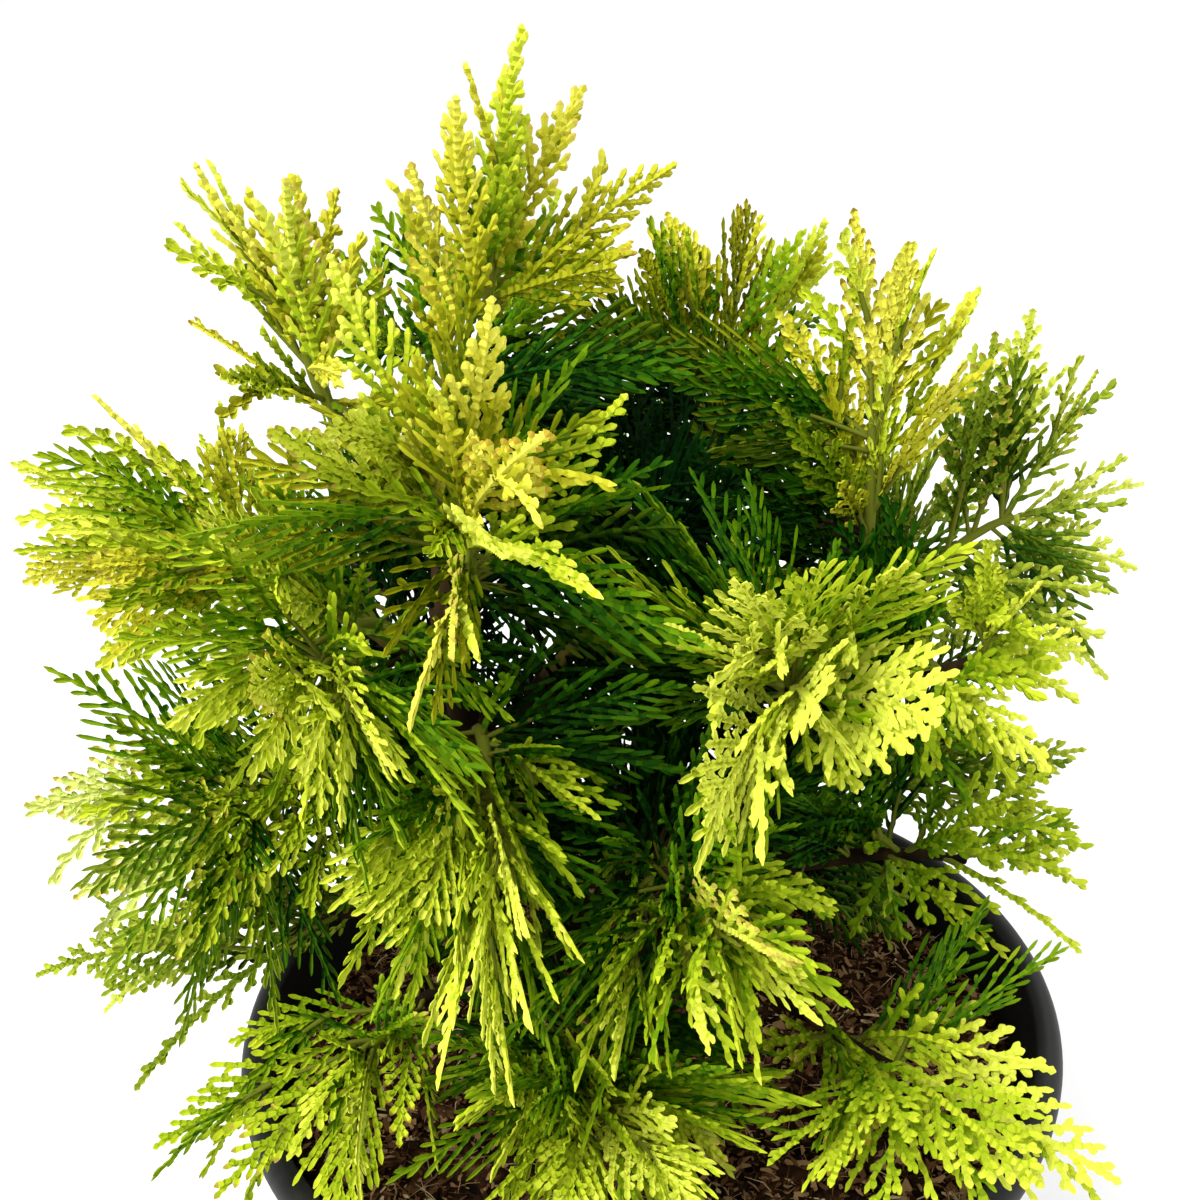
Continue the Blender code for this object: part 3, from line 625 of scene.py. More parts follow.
# Tips of further sprays that close the gaps between the planned ones
FILLERS = {"front_low_right": ((30, -84, 174), (32, -70, 162), (19, -80, 176), (40, -84, 164),
                               (15, -76, 184)),
           "front_low_mid": ((10, -84, 162), (-26, -84, 160), (17, -82, 174), (14, -76, 184)),
           "front_droop": ((-54, -52, 214), (-54, -58, 228)),
           "lower_left": ((-63, -38, 198), (-74, -36, 190)),
           "front_low_left": ((-52, -52, 188), (-46, -52, 192), (-60, -52, 184)),
           "top": ((3, 16, 322), (0, -8, 326)),
           "upper_left": ((-52, -12, 309), (-46, 16, 322)),
           "left": ((-80, 10, 292), (-108, -12, 260)),
           "right_near": ((38, -56, 240),)}
FILLER_LIE = 30.0

# How narrow the sprays of the thin outer masses are
SLIM = {"top": 0.46, "upper_left": 0.48, "left": 0.54, "low_left": 0.46, "lower_left": 0.58,
        "right_upright": 0.54, "right_back": 0.52, "right": 0.64, "right_low": 0.5,
        "front_upper": 0.5, "front_low_left": 0.6, "front_low_right": 0.7, "back_centre": 0.7,
        "back_upper": 0.66}
SLIM_USUAL = 0.72

# Spread of the side shoots in degrees, how fast they shorten to the tip, share of lobed
# shoots, the longest lobe, how far apart the shoots stand and how stout they are
HABITS = {
    "plume": ((28.0, 38.0), (0.7, 1.1), (0.7, 1.0), (1.8, 2.8), (1.15, 1.35), (0.92, 1.0)),
    "fan": ((38.0, 48.0), (0.9, 1.3), (0.75, 1.0), (2.4, 3.4), (1.3, 1.55), (0.88, 1.0)),
    "comb": ((34.0, 45.0), (0.8, 1.2), (0.35, 0.75), (1.8, 2.6), (0.95, 1.15), (0.7, 0.86)),
}
PLUMES = ("top", "upper_left", "front_upper", "right_upright", "left", "right", "back_centre",
          "back_upper")
COMBS = ("front_low_mid", "front_low_left", "front_droop", "front_centre", "inner", "back_mid",
         "back_low", "front_left")
SEEN_BEHIND = ("back_centre", "back_upper")

# Foliage colours from the deep inside to the tips, as screen values, one row per level. The lowest rows are
# near black: painted shade for the crown's hollow. The middle rows mix the foliage's own green-to-gold
# colour with painted shade, and the top rows are its own lit-side colour
RUNS = {
    "warm": ((4, 32, 3), (13, 53, 3), (34, 80, 4), (63, 107, 5), (97, 134, 8), (130, 156, 18),
             (160, 180, 30), (190, 203, 46), (214, 222, 80)),
    "cool": ((4, 32, 3), (16, 50, 5), (34, 68, 8), (58, 88, 12), (84, 111, 18), (114, 136, 30),
             (148, 164, 44), (182, 194, 62), (208, 216, 96)),
    "pale": ((4, 32, 3), (13, 53, 3), (34, 80, 4), (66, 106, 10), (100, 134, 20), (132, 156, 36),
             (164, 182, 60), (190, 203, 88), (208, 218, 118)),
    "gold": ((8, 34, 3), (24, 55, 3), (48, 80, 4), (80, 102, 6), (114, 126, 10), (147, 151, 18),
             (175, 175, 34), (199, 197, 52), (217, 214, 80)),
}
RUN_NAMES = ("warm", "cool", "pale", "gold")
STEPS = 2
RUN_LENGTH = 8 * STEPS + 1
TIP_COLOURS = (("tip_amber", (172, 150, 46)), ("tip_tan", (192, 176, 74)))
AMBER = 4 * RUN_LENGTH

# How much lighter or deeper each mass is than the crown's general run of colour: partly its own tone, partly
# painted light on the sunlit masses and painted shade on the inner and rear ones
TINTS_AND_SHADES = {
    "top": 1.5, "upper_left": 1.8, "front_upper": 2.0, "front_left": 2.0,
    "left": 1.9, "lower_left": 3.1, "low_left": 0.7, "front_droop": 1.9,
    "front_centre": 0.9, "front_low_left": 0.7, "front_low_mid": 1.1,
    "front_low_right": 1.2, "right_near": 3.0, "right": 2.3, "right_upright": 3.0,
    "right_low": 1.5, "right_back": 1.1, "inner": -2.8, "back_centre": 0.3,
    "back_upper": 0.4, "back_left": 0.2, "back_low_left": -0.1, "back_mid": -0.5,
    "back_low": -0.5, "back_right": 0.3, "back_low_right": 0.0,
}
# How much brighter the planned sprays are than their companions: painted light on the sprays in front,
# painted shade on those behind
LIGHT_LIFTS = {"front_centre": 1.5, "front_droop": 1.0, "front_low_mid": 0.9, "right_near": 0.2,
         "front_low_right": 0.7, "back_centre": 0.6}
LIGHT_LIFT_USUAL = 0.5
COOL_MASSES = ("right_back", "low_left", "back_low_right", "back_right")
PALE_MASSES = ("lower_left",)
# Share of golden sprays; the rest of these masses is as the crown in general
GOLD_SHARE = {"top": 0.75, "upper_left": 0.7, "left": 0.4, "right_upright": 0.6,
              "front_upper": 0.4, "back_centre": 0.5}
HANGING = ("front_upper", "front_left", "front_droop", "front_centre", "right_near", "right",
           "lower_left", "right_low", "front_low_left", "front_low_mid", "front_low_right", "inner")


def linear(value):
    value = value / 255.0
    return value / 12.92 if value <= 0.04045 else ((value + 0.055) / 1.055) ** 2.4


def linear_colour(screen):
    return tuple(linear(v) for v in screen)


def plain_material(name, screen, roughness):
    made = bpy.data.materials.new(name)
    made.use_nodes = True
    shader = made.node_tree.nodes["Principled BSDF"]
    shader.inputs["Base Color"].default_value = (*linear_colour(screen), 1.0)
    shader.inputs["Roughness"].default_value = roughness
    shader.inputs["Specular IOR Level"].default_value = 0.04
    return made


def array_mesh(name, points, quads, slots, materials, smooth=True):
    """One object from arrays of points (millimetres), four-cornered faces and slots."""
    mesh = bpy.data.meshes.new(name)
    mesh.vertices.add(len(points))
    mesh.vertices.foreach_set("co", (np.asarray(points, np.float64) * MM).ravel())
    mesh.loops.add(quads.size)
    mesh.loops.foreach_set("vertex_index", quads.ravel().astype(np.int32))
    mesh.polygons.add(len(quads))
    mesh.polygons.foreach_set("loop_start", np.arange(0, quads.size, 4, dtype=np.int32))
    mesh.polygons.foreach_set("loop_total", np.full(len(quads), 4, np.int32))
    for material in materials:
        mesh.materials.append(material)
    mesh.polygons.foreach_set("material_index", np.asarray(slots, np.int32))
    mesh.polygons.foreach_set("use_smooth", np.full(len(quads), smooth))
    mesh.update(calc_edges=True)
    mesh.validate()
    made = bpy.data.objects.new(name, mesh)
    bpy.context.scene.collection.objects.link(made)
    return made


class Sheaf:
    """Collects tapering rods of a few sides and turns them into one mesh."""

    def __init__(self):
        self.points = []
        self.quads = []
        self.slots = []
        self.count = 0

    def rod(self, centres, across, normal, halves, thicks, slots, sides=6):
        """Rings of points round the centres, joined into a tube."""
        rings = len(centres)
        angles = np.arange(sides) * (2 * math.pi / sides)
        c = np.cos(angles)[None, :, None]
        s = np.sin(angles)[None, :, None]
        points = (centres[:, None, :] + across[:, None, :] * halves[:, None, None] * c
                  + normal[:, None, :] * thicks[:, None, None] * s)
        index = np.arange(rings * sides).reshape(rings, sides) + self.count
        ahead = np.roll(index, -1, axis=1)
        self.points.append(points.reshape(-1, 3))
        self.quads.append(np.stack([index[:-1], ahead[:-1], ahead[1:], index[1:]], -1).reshape(-1, 4))
        self.slots.append(np.repeat(np.asarray(slots), sides))
        self.count += rings * sides

    def scales(self, centres, across, normal, halves, ridges, slots):
        """A row of leaf scales: a low roof of two faces with a waving edge."""
        rings = len(centres)
        if across.ndim == 1:
            across = np.broadcast_to(across, centres.shape)
            normal = np.broadcast_to(normal, centres.shape)
        side = across * halves[:, None]
        points = np.stack([centres + side, centres + normal * ridges[:, None], centres - side], 1)
        index = np.arange(rings * 3).reshape(rings, 3) + self.count
        quads = np.stack([index[:-1, :2], index[:-1, 1:], index[1:, 1:], index[1:, :2]], -1)
        self.points.append(points.reshape(-1, 3))
        self.quads.append(quads.reshape(-1, 4))
        self.slots.append(np.repeat(np.asarray(slots), 2))
        self.count += rings * 3

    def build(self, name, materials, smooth=True):
        used, slots = np.unique(np.concatenate(self.slots), return_inverse=True)
        return array_mesh(name, np.concatenate(self.points), np.concatenate(self.quads),
                          slots, [materials[k] for k in used], smooth)


def unit(v):
    return v / max(np.linalg.norm(v), 1e-9)


CROWN_CENTRE = np.array((-6.0, 8.0, 236.0))
CROWN_REACH = np.array((128.0, 104.0, 128.0))


def outerness(point):
    """Zero at the crown's heart and one at its outside."""
    return float(np.linalg.norm((point - CROWN_CENTRE) / CROWN_REACH))


def shade_slot(level, kind):
    """Palette slot for a level from deep inside to the brightest outside."""
    place = int(round(min(max(level, 0.0), 8.0) * STEPS))
    return RUN_NAMES.index(kind) * RUN_LENGTH + place


def leaf_palette():
    """Plain colours of all runs, each with steps between its levels, then the tips."""
    made = []
    for kind in RUN_NAMES:
        for place in range(RUN_LENGTH):
            low, part = divmod(place, STEPS)
            first = RUNS[kind][low]
            second = RUNS[kind][min(low + 1, 8)]
            mix = [a + (b - a) * part / STEPS for a, b in zip(first, second)]
            made.append(plain_material("leaf_%s_%02d" % (kind, place), mix, 0.6))
    return made + [plain_material(name, screen, 0.6) for name, screen in TIP_COLOURS]


def branchlet(sheaf, start, aim, wide, flat, length, half, tone, gain, mood, sweep, detail):
    """One scaly branchlet: stacked scale pairs that flare at each pair's end, blunt at last."""
    kind, tips, slim = mood
    count = max(1, int(round(length / NODE_LENGTHS[detail])))
    step = length / count
    stops = []
    widths = []
    ridges = []
    slots = []
    for k in range(count):
        taper = 1.0 - slim * k / count
        # Each scale pair gets a painted lit band on its body and painted shade at the crease to the next;
        # the level rises to the tip, partly yellower young growth and partly painted light
        level = tone + gain * (k + 0.5) / count
        light = shade_slot(level + SCALE_LIT_AND_SHADE_BANDS[detail], kind)
        crease_shade_slot = shade_slot(level - 1.4 * SCALE_LIT_AND_SHADE_BANDS[detail], kind)
        if detail == 0:
            taper *= 0.82 + 0.18 * k / max(count - 1, 1)
            stops += [k * step, (k + 0.74) * step]
            widths += [0.72 * taper, taper]
            ridges += [0.66 * taper, 0.95 * taper]
            slots += [light, crease_shade_slot]
        else:
            stops += [k * step, (k + 0.6) * step]
            widths += [0.66 * taper, taper]
            ridges += [0.62 * taper, 1.0 * taper]
            slots += [light, crease_shade_slot]
    stops += [length - 0.05 * step, length + 0.45]
    widths += [widths[-1] * 0.84, 0.2]
    ridges += [ridges[-1] * 0.7, 0.1]
    slots[-1] = light
    slots.append(tips if tips and tone > 3.5 else light)
    if tips and tone > 3.5:
        slots[-2] = tips
    stops = np.asarray(stops)
    centres = start + aim * stops[:, None] + sweep * (stops * stops)[:, None]
    sheaf.scales(centres, wide, flat, np.asarray(widths) * half, np.asarray(ridges) * half, slots)


def lobe(sheaf, start, aim, wide, flat, length, half, level, kind, tips):
    """A short side lobe: one swelling club of scales with a blunt end."""
    stops = np.array((0.0, 0.5, 0.82, 1.0)) * length
    widths = np.array((0.55, 0.95, 0.88, 0.2)) * half
    # Painted shade at the lobe's foot, painted light towards its end
    slots = [shade_slot(level - 0.3, kind), shade_slot(level + 0.3, kind),
             tips or shade_slot(level + 0.4, kind)]
    sheaf.scales(start + aim * stops[:, None], wide, flat, widths, widths * 0.9, slots)


def vec(v):
    return np.array((v.x, v.y, v.z))


def colour_and_shade_level(point, tint_and_shade):
    """Colour level of a place: deep green at the heart, yellow-lime outside; partly the foliage's own
    colour, partly painted shade at the heart and painted light outside.
    """
    out = min(max((outerness(point) - 0.34) / 0.58, 0.0), 1.0)
    # Painted light: higher places get lighter as though lit from above, along with the more golden top
    # growth
    lift = 0.6 * min(max((point[2] - 150.0) / 180.0, 0.0), 1.0)
    return 0.4 + 4.0 * out + lift + tint_and_shade


def frond(leaves, woody, spray, tint_and_shade, kind, habit, rng, detail, golden=0.6):
    """One flat spray: a leading shoot with parallel branchlets on both hands, some lobed."""
    start, bow, tip, side, width = spray
    length = (tip - start).length
    out = outerness(vec(tip))
    glow = tint_and_shade + rng.gauss(0.0, 0.65)
    if kind == "gold" and rng.random() > golden:
        kind = "warm"
        glow -= 0.3
    if kind == "pale" and out < 0.95:
        kind = "warm"
        glow -= 1.0
    chance = 0.34 if out > 0.8 and tip.z > 240.0 else 0.12
    tips = rng.choice((AMBER, AMBER + 1)) if rng.random() < chance and detail == 0 else 0
    mood = (kind, tips, rng.uniform(0.1, 0.4))
    open_angle, narrow, lobed, longest, apart, stout = (rng.uniform(*pair)
                                                        for pair in HABITS[habit])
    steps = max(6, int(length * 0.8 / (SHOOT_SPACINGS[detail] * apart)))
    if detail == 2:
        lobed *= 0.6
    stout *= BRANCHLET_HALVES[detail]
    curl = np.array((0.0, 0.0, -rng.uniform(0.0, 0.004)))
    cup = rng.gauss(0.0, 0.12)
    bending = rng.uniform(0.012, 0.024)
    for k in range(steps):
        t = 0.11 + 0.80 * (k + rng.uniform(0.35, 0.65)) / steps
        hand = 1.0 if k % 2 else -1.0
        aim = heading(start, bow, tip, t)
        across, face = side_frame(aim, side)
        swell = min(0.66 + 2.6 * (t - 0.12), 1.0) * min((1.0 - t) / 0.7, 1.0) ** narrow
        reach = width * swell * rng.uniform(0.78, 1.06)
        reach = max(min(reach, (1.0 - t) * length + 2.5), 2.8)
        angle = math.radians(open_angle - 12.0 * t + rng.uniform(-4.0, 4.0))
        course = (aim * math.cos(angle) + across * hand * math.sin(angle)
                  + face * (cup + rng.gauss(0.0, 0.06)))
        place = vec(bend(start, bow, tip, t))
        shoot = unit(vec(course))
        wide = unit(np.cross(vec(face), shoot))
        flat = np.cross(shoot, wide)
        sweep = vec(aim) * bending + curl
        # Levels rise along the frond: partly yellower young tips, partly painted light on the tips and
        # painted shade at the foot
        base = colour_and_shade_level(place + shoot * reach * 0.6, glow) + rng.gauss(0.0, 0.3) + 0.8 * t - 0.3
        half = stout * rng.uniform(0.92, 1.06)
        branchlet(leaves, place, shoot, wide, flat, reach, half, base - 0.3, 1.8, mood, sweep, detail)
        spots = int((reach - 2.5) * lobed / LOBE_SPACINGS[detail] + rng.random() * 0.7)
        for j in range(spots):
            s = reach * (0.2 + 0.66 * (j + rng.uniform(0.3, 0.7)) / spots)
            turn = 1.0 if (j + k) % 2 else -1.0
            spot = place + shoot * s + sweep * s * s
            size = min(0.34 * (reach - s) + 1.4, longest) * rng.uniform(0.8, 1.1)
            fork = math.radians(40.0 + rng.uniform(-7.0, 7.0))
            ahead = unit(shoot + sweep * 2.0 * s)
            way = unit(ahead * math.cos(fork) + wide * turn * math.sin(fork) + flat * rng.gauss(0, 0.12))
            lie = unit(np.cross(flat, way))
            # The same rise along each shoot: young growth with painted light towards its end
            level = base - 0.3 + 1.8 * s / reach
            if detail == 0 and size > 2.3:
                branchlet(leaves, spot, way, lie, flat, size, half * 0.9, level, 0.6, mood,
                          ahead * 0.008, detail)
            else:
                lobe(leaves, spot, way, lie, flat, size, half * 0.95, level + 0.2, kind,
                     tips if level > 4.5 else 0)
    # The leading shoot, scaly to its blunt tip and yellower than the branchlets
    count = max(6, int(length * 0.9 / (NODE_LENGTHS[detail] * 1.1)))
    centres = []
    wides = []
    flats = []
    sizes = []
    slots = []
    for k in range(2 * count + 1):
        t = 0.10 + 0.90 * k / (2 * count)
        across, face = side_frame(heading(start, bow, tip, t), side)
        centres.append(vec(bend(start, bow, tip, t)))
        wides.append(vec(across))
        flats.append(vec(face))
        sizes.append(stout * (1.15 - 0.25 * t) * (1.0 if k % 2 else 0.62))
        # The leader is yellower than its branchlets and rises to the tip, partly young growth and partly
        # painted light; alternate rings get a painted lit band and painted shade
        level = colour_and_shade_level(centres[-1], glow) + 0.9 + 0.7 * t
        slots.append(shade_slot(level + (0.3 if k % 2 else -0.4), kind))
    sizes[-1] = 0.15
    if tips:
        slots[-2] = tips
    sizes = np.asarray(sizes)
    leaves.scales(np.asarray(centres), np.asarray(wides), np.asarray(flats), sizes, sizes * 1.05,
                  slots[:-1])
    # Twig feet deep in the crown take the dark brown bark and those outside the green: partly the older
    # wood's colour, partly painted shade inside the crown
    line = [bend(start, bow, tip, t) for t in (0.0, 0.07, 0.14, 0.22, 0.3)]
    twig_rod(woody, line, 0.72 if detail < 2 else 0.55, 0.45, 0 if outerness(vec(line[2])) < 0.5 else 1)


def thinness(tip):
    """How slim the spray with this tip is beside its neighbours."""
    for place, slim in THIN_TIPS:
        if (Vector(place) - tip).length < 8.0:
            return slim
    return 1.0


def near_solids(points, blades, reach):
    """True when every point is close to a planned spray, or deep inside the crown."""
    for p in points:
        if outerness(vec(p)) > 0.60 and blades.find_nearest(p, reach)[0] is None:
            return False
    return True


def spray_probes(start, bow, tip, side, width):
    """A few points along a spray and at its sides."""
    points = []
    for t in (0.35, 0.7, 1.0):
        centre = bend(start, bow, tip, t)
        across, _ = side_frame(heading(start, bow, tip, t), side)
        reach = width * 0.6 * (1.0 - 0.9 * abs(t - 0.45) / 0.55)
        points += [centre, centre + across * reach, centre - across * reach]
    return points


def companion(spray, home, others, guards, taken, hang, slim, room_out, rng):
    """A second spray that forks off near the foot of one, in an upright plane."""
    start, bow, tip, side, width = spray
    limb_tree, blades = guards
    length = (tip - start).length
    best = None
    for _ in range(20):
        t = rng.uniform(0.05, 0.5)
        foot = bend(start, bow, tip, t)
        aim = heading(start, bow, tip, t)
        across, face = side_frame(aim, side)
        spin = rng.uniform(-0.9, 0.9) + (0.0 if rng.random() < 0.5 else math.pi)
        lean = math.radians(rng.uniform(12.0, 38.0))
        out = face * math.cos(spin) + across * math.sin(spin)
        way = aim * math.cos(lean) + out * math.sin(lean)
        reach = length * (1.0 - t) * rng.uniform(0.65, 0.95)
        end = foot + way * reach + Vector((0.0, 0.0, -hang * reach))
        middle = foot.lerp(end, 0.5) + Vector((0.0, 0.0, (0.04 + 0.35 * hang) * reach))
        radial = Vector((end.x, end.y, 0.0)).normalized()
        first, second = side_frame((end - foot).normalized(), Vector((0, 0, 0.8)) + radial * 0.5)
        roll = rng.gauss(0.0, 0.28)
        lie = first * math.cos(roll) + second * math.sin(roll)
        broad = reach * rng.uniform(WIDTH_LOW, WIDTH_HIGH) * 0.95 * slim
        probes = spray_probes(foot, middle, end, lie, broad)
        if not in_own_cell(probes, home, others) or not clear_of_pot(probes):
            continue
        if not near_solids(probes[3:], blades, room_out):
            continue
        if any(limb_tree.find_nearest(p, 2.0)[0] is not None for p in probes):
            continue
        place = foot.lerp(end, 0.62)
        room = min((place - p).length for p in taken)
        if best is None or room > best[0]:
            best = (room, (foot, middle, end, lie, broad), place)
    if best is None:
        return None
    taken.append(best[2])
    return best[1]


def inner_spray(pieces, cell, guards, taken, reach_out, rng):
    """A shaded spray from the stem, its bough or the limb by the bough's foot into the
    emptiest part of the mass's space. The places before the trunk come first."""
    limb_tree, blades = guards
    home = cell[0]
    best = None
    for _ in range(26):
        end = home + Vector((rng.uniform(-46, 46), rng.uniform(-46, 46), rng.uniform(-40, 40)))
        if outerness(vec(end)) > 1.0 or not clear_of_pot([end]):
            continue
        foot = None
        for low, high in pieces:
            for place in (low, low.lerp(high, 0.5)):
                way = end - place
                lean = way.normalized().dot((high - low).normalized())
                cost = way.length * (1.0 if lean > 0.25 else 1.6)
                if foot is None or cost < foot[0]:
                    foot = (cost, place)
        foot = foot[1]
        reach = (end - foot).length
        if reach < 20.0 or reach > 58.0 or not in_own_cell([foot.lerp(end, 0.6)], *cell):
            continue
        middle = foot.lerp(end, 0.5) + Vector((0.0, 0.0, rng.uniform(0.04, 0.2) * reach))
        radial = Vector((end.x, end.y, 0.0)).normalized()
        first, second = side_frame((end - foot).normalized(), Vector((0, 0, 0.8)) + radial * 0.5)
        roll = rng.gauss(0.0, 0.35)
        lie = first * math.cos(roll) + second * math.sin(roll)
        broad = reach * rng.uniform(WIDTH_LOW, WIDTH_HIGH) * 0.66
        ends = spray_probes(foot, middle, end, lie, broad)[3:]
        if not near_solids(ends, blades, reach_out) or not clear_of_pot(ends):
            continue
        if any(limb_tree.find_nearest(p, 1.6)[0] is not None for p in ends):
            continue
        place = foot.lerp(end, 0.62)
        room = min((place - p).length for p in taken) + before_trunk(place)
        if best is None or room > best[0]:
            best = (room, (foot, middle, end, lie, broad), place)
    if best is None:
        return None
    taken.append(best[2])
    return best[1]


def before_trunk(place):
    """A bonus for the places that screen the bare middle of the trunk from the front."""
    row = min(TRUNK_LINE, key=lambda row: abs(row[2] - place.z))
    near = abs(place.x - row[0]) < 14.0 and -45.0 < place.y - row[1] < -6.0
    return 7.0 if near and 205.0 < place.z < 268.0 else 0.0


def twig_rod(sheaf, line, thick, thin, slot, sides=6):
    centres = np.asarray([vec(p) for p in line])
    hint = Vector((0.3, 1.0, 0.15))
    firsts = []
    seconds = []
    for k in range(len(line)):
        way = line[min(k + 1, len(line) - 1)] - line[max(k - 1, 0)]
        first, second = side_frame(way, hint)
        hint = first
        firsts.append(vec(first))
        seconds.append(vec(second))
    radii = np.linspace(thick, thin, len(line))
    sheaf.rod(centres, np.asarray(firsts), np.asarray(seconds), radii, radii,
              [slot] * (len(line) - 1), sides)


def wood_age(place, size):
    """Slot of the bark: brown on old wood, then olive, then green on the youngest."""
    youth = (place.z - 205.0) / 80.0 + (2.6 - size) * 0.5
    return 2 if youth > 1.05 else 1 if youth > 0.7 else 0


def bark_relief(sheaf, line, radii, sides, step):
    """A limb with furrowed bark: many rings whose radius follows streaky noise."""
    centres = [Vector(line[0])]
    sizes = [radii[0]]
    for k in range(len(line) - 1):
        pieces = max(1, int((line[k + 1] - line[k]).length / step))
        for i in range(1, pieces + 1):
            t = i / pieces
            centres.append(line[k].lerp(line[k + 1], t))
            sizes.append(radii[k] + (radii[k + 1] - radii[k]) * t)
    rings = len(centres)
    points = np.zeros((rings, sides, 3))
    hint = Vector((0.3, 1.0, 0.15))
    for k in range(rings):
        way = centres[min(k + 1, rings - 1)] - centres[max(k - 1, 0)]
        first, second = side_frame(way, hint)
        hint = first
        for s in range(sides):
            angle = 2 * math.pi * s / sides
            spoke = first * math.cos(angle) + second * math.sin(angle)
            grain = noise.noise(Vector((math.cos(angle) * 2.6, math.sin(angle) * 2.6, k * step * 0.09)))
            fine = noise.noise(Vector((math.cos(angle) * 7.0, math.sin(angle) * 7.0, k * step * 0.35)))
            size = sizes[k] * (0.985 + 0.045 * grain + 0.03 * fine)
            points[k, s] = vec(centres[k] + spoke * size)
    index = np.arange(rings * sides).reshape(rings, sides) + sheaf.count
    ahead = np.roll(index, -1, axis=1)
    quads = np.stack([index[:-1], ahead[:-1], ahead[1:], index[1:]], -1).reshape(-1, 4)
    ages = [wood_age(centre, size) for centre, size in zip(centres, sizes)]
    sheaf.points.append(points.reshape(-1, 3))
    sheaf.quads.append(quads)
    sheaf.slots.append(np.repeat(ages[:-1], sides))
    sheaf.count += rings * sides
    # Close both ends with a small ring drawn to the middle
    for end, order in ((0, 1), (rings - 1, -1)):
        middle = vec(centres[end])
        inner = middle + (points[end] - middle) * 0.05
        base = sheaf.count
        outer = np.arange(sides) + index[end][0]
        rim = np.arange(sides) + base
        cap = np.stack([outer, rim, np.roll(rim, -1), np.roll(outer, -1)], -1)
        if order < 0:
            cap = cap[:, ::-1]
        sheaf.points.append(inner)
        sheaf.quads.append(cap)
        sheaf.slots.append(np.full(sides, ages[end]))
        sheaf.count += sides


def shader_of(name):
    made = bpy.data.materials.new(name)
    made.use_nodes = True
    tree = made.node_tree
    return made, tree, tree.nodes["Principled BSDF"]


def ramp_node(tree, stops):
    ramp = tree.nodes.new("ShaderNodeValToRGB")
    ramp.color_ramp.elements[0].position = stops[0][0]
    ramp.color_ramp.elements[0].color = (*linear_colour(stops[0][1]), 1.0)
    ramp.color_ramp.elements[1].position = stops[-1][0]
    ramp.color_ramp.elements[1].color = (*linear_colour(stops[-1][1]), 1.0)
    for place, screen in stops[1:-1]:
        extra = ramp.color_ramp.elements.new(place)
        extra.color = (*linear_colour(screen), 1.0)
    return ramp


def noise_node(tree, scale, detail=6.0, stretch=(1.0, 1.0, 1.0)):
    place = tree.nodes.new("ShaderNodeTexCoord")
    shift = tree.nodes.new("ShaderNodeMapping")
    shift.inputs["Scale"].default_value = stretch
    made = tree.nodes.new("ShaderNodeTexNoise")
    made.inputs["Scale"].default_value = scale
    made.inputs["Detail"].default_value = detail
    tree.links.new(place.outputs["Object"], shift.inputs["Vector"])
    tree.links.new(shift.outputs["Vector"], made.inputs["Vector"])
    return made


def bump_into(tree, shader, source, strength, distance):
    bump = tree.nodes.new("ShaderNodeBump")
    bump.inputs["Strength"].default_value = strength
    bump.inputs["Distance"].default_value = distance
    tree.links.new(source, bump.inputs["Height"])
    tree.links.new(bump.outputs["Normal"], shader.inputs["Normal"])


def plastic_material():
    made, tree, shader = shader_of("pot_plastic_look")
    cloud = noise_node(tree, 22.0, 8.0, (1.0, 1.0, 0.35))
    tone = ramp_node(tree, ((0.35, (16, 17, 16)), (0.62, (27, 28, 26)), (0.85, (46, 46, 42))))
    shader.inputs["Specular IOR Level"].default_value = 0.3
    tree.links.new(cloud.outputs["Fac"], tone.inputs["Fac"])
    tree.links.new(tone.outputs["Color"], shader.inputs["Base Color"])
    gloss = tree.nodes.new("ShaderNodeMapRange")
    gloss.inputs["To Min"].default_value = 0.46
    gloss.inputs["To Max"].default_value = 0.68
    tree.links.new(cloud.outputs["Fac"], gloss.inputs["Value"])
    tree.links.new(gloss.outputs["Result"], shader.inputs["Roughness"])
    grain = noise_node(tree, 900.0, 3.0)
    bump_into(tree, shader, grain.outputs["Fac"], 0.12, 0.0004)
    return made


def soil_material():
    made, tree, shader = shader_of("soil_look")
    cloud = noise_node(tree, 190.0, 10.0)
    tone = ramp_node(tree, ((0.36, (10, 6, 3)), (0.5, (34, 20, 10)), (0.62, (70, 46, 26)),
                            (0.8, (120, 88, 54))))
    tree.links.new(cloud.outputs["Fac"], tone.inputs["Fac"])
    tree.links.new(tone.outputs["Color"], shader.inputs["Base Color"])
    shader.inputs["Roughness"].default_value = 0.92
    shader.inputs["Specular IOR Level"].default_value = 0.05
    bump_into(tree, shader, cloud.outputs["Fac"], 0.8, 0.003)
    return made


# The default brown bark tones are the wood's own colour darkened with painted shade, so it sinks into the
# crown's dim heart
def bark_material(name, tones=((16, 11, 6), (38, 28, 15), (66, 50, 29), (104, 82, 50))):
    made, tree, shader = shader_of(name)
    shader.inputs["Specular IOR Level"].default_value = 0.08
    cloud = noise_node(tree, 130.0, 8.0, (1.0, 1.0, 0.22))
    tone = ramp_node(tree, tuple(zip((0.3, 0.5, 0.68, 0.85), tones)))
    tree.links.new(cloud.outputs["Fac"], tone.inputs["Fac"])
    tree.links.new(tone.outputs["Color"], shader.inputs["Base Color"])
    shader.inputs["Roughness"].default_value = 0.86
    bump_into(tree, shader, cloud.outputs["Fac"], 0.6, 0.0008)
    return made


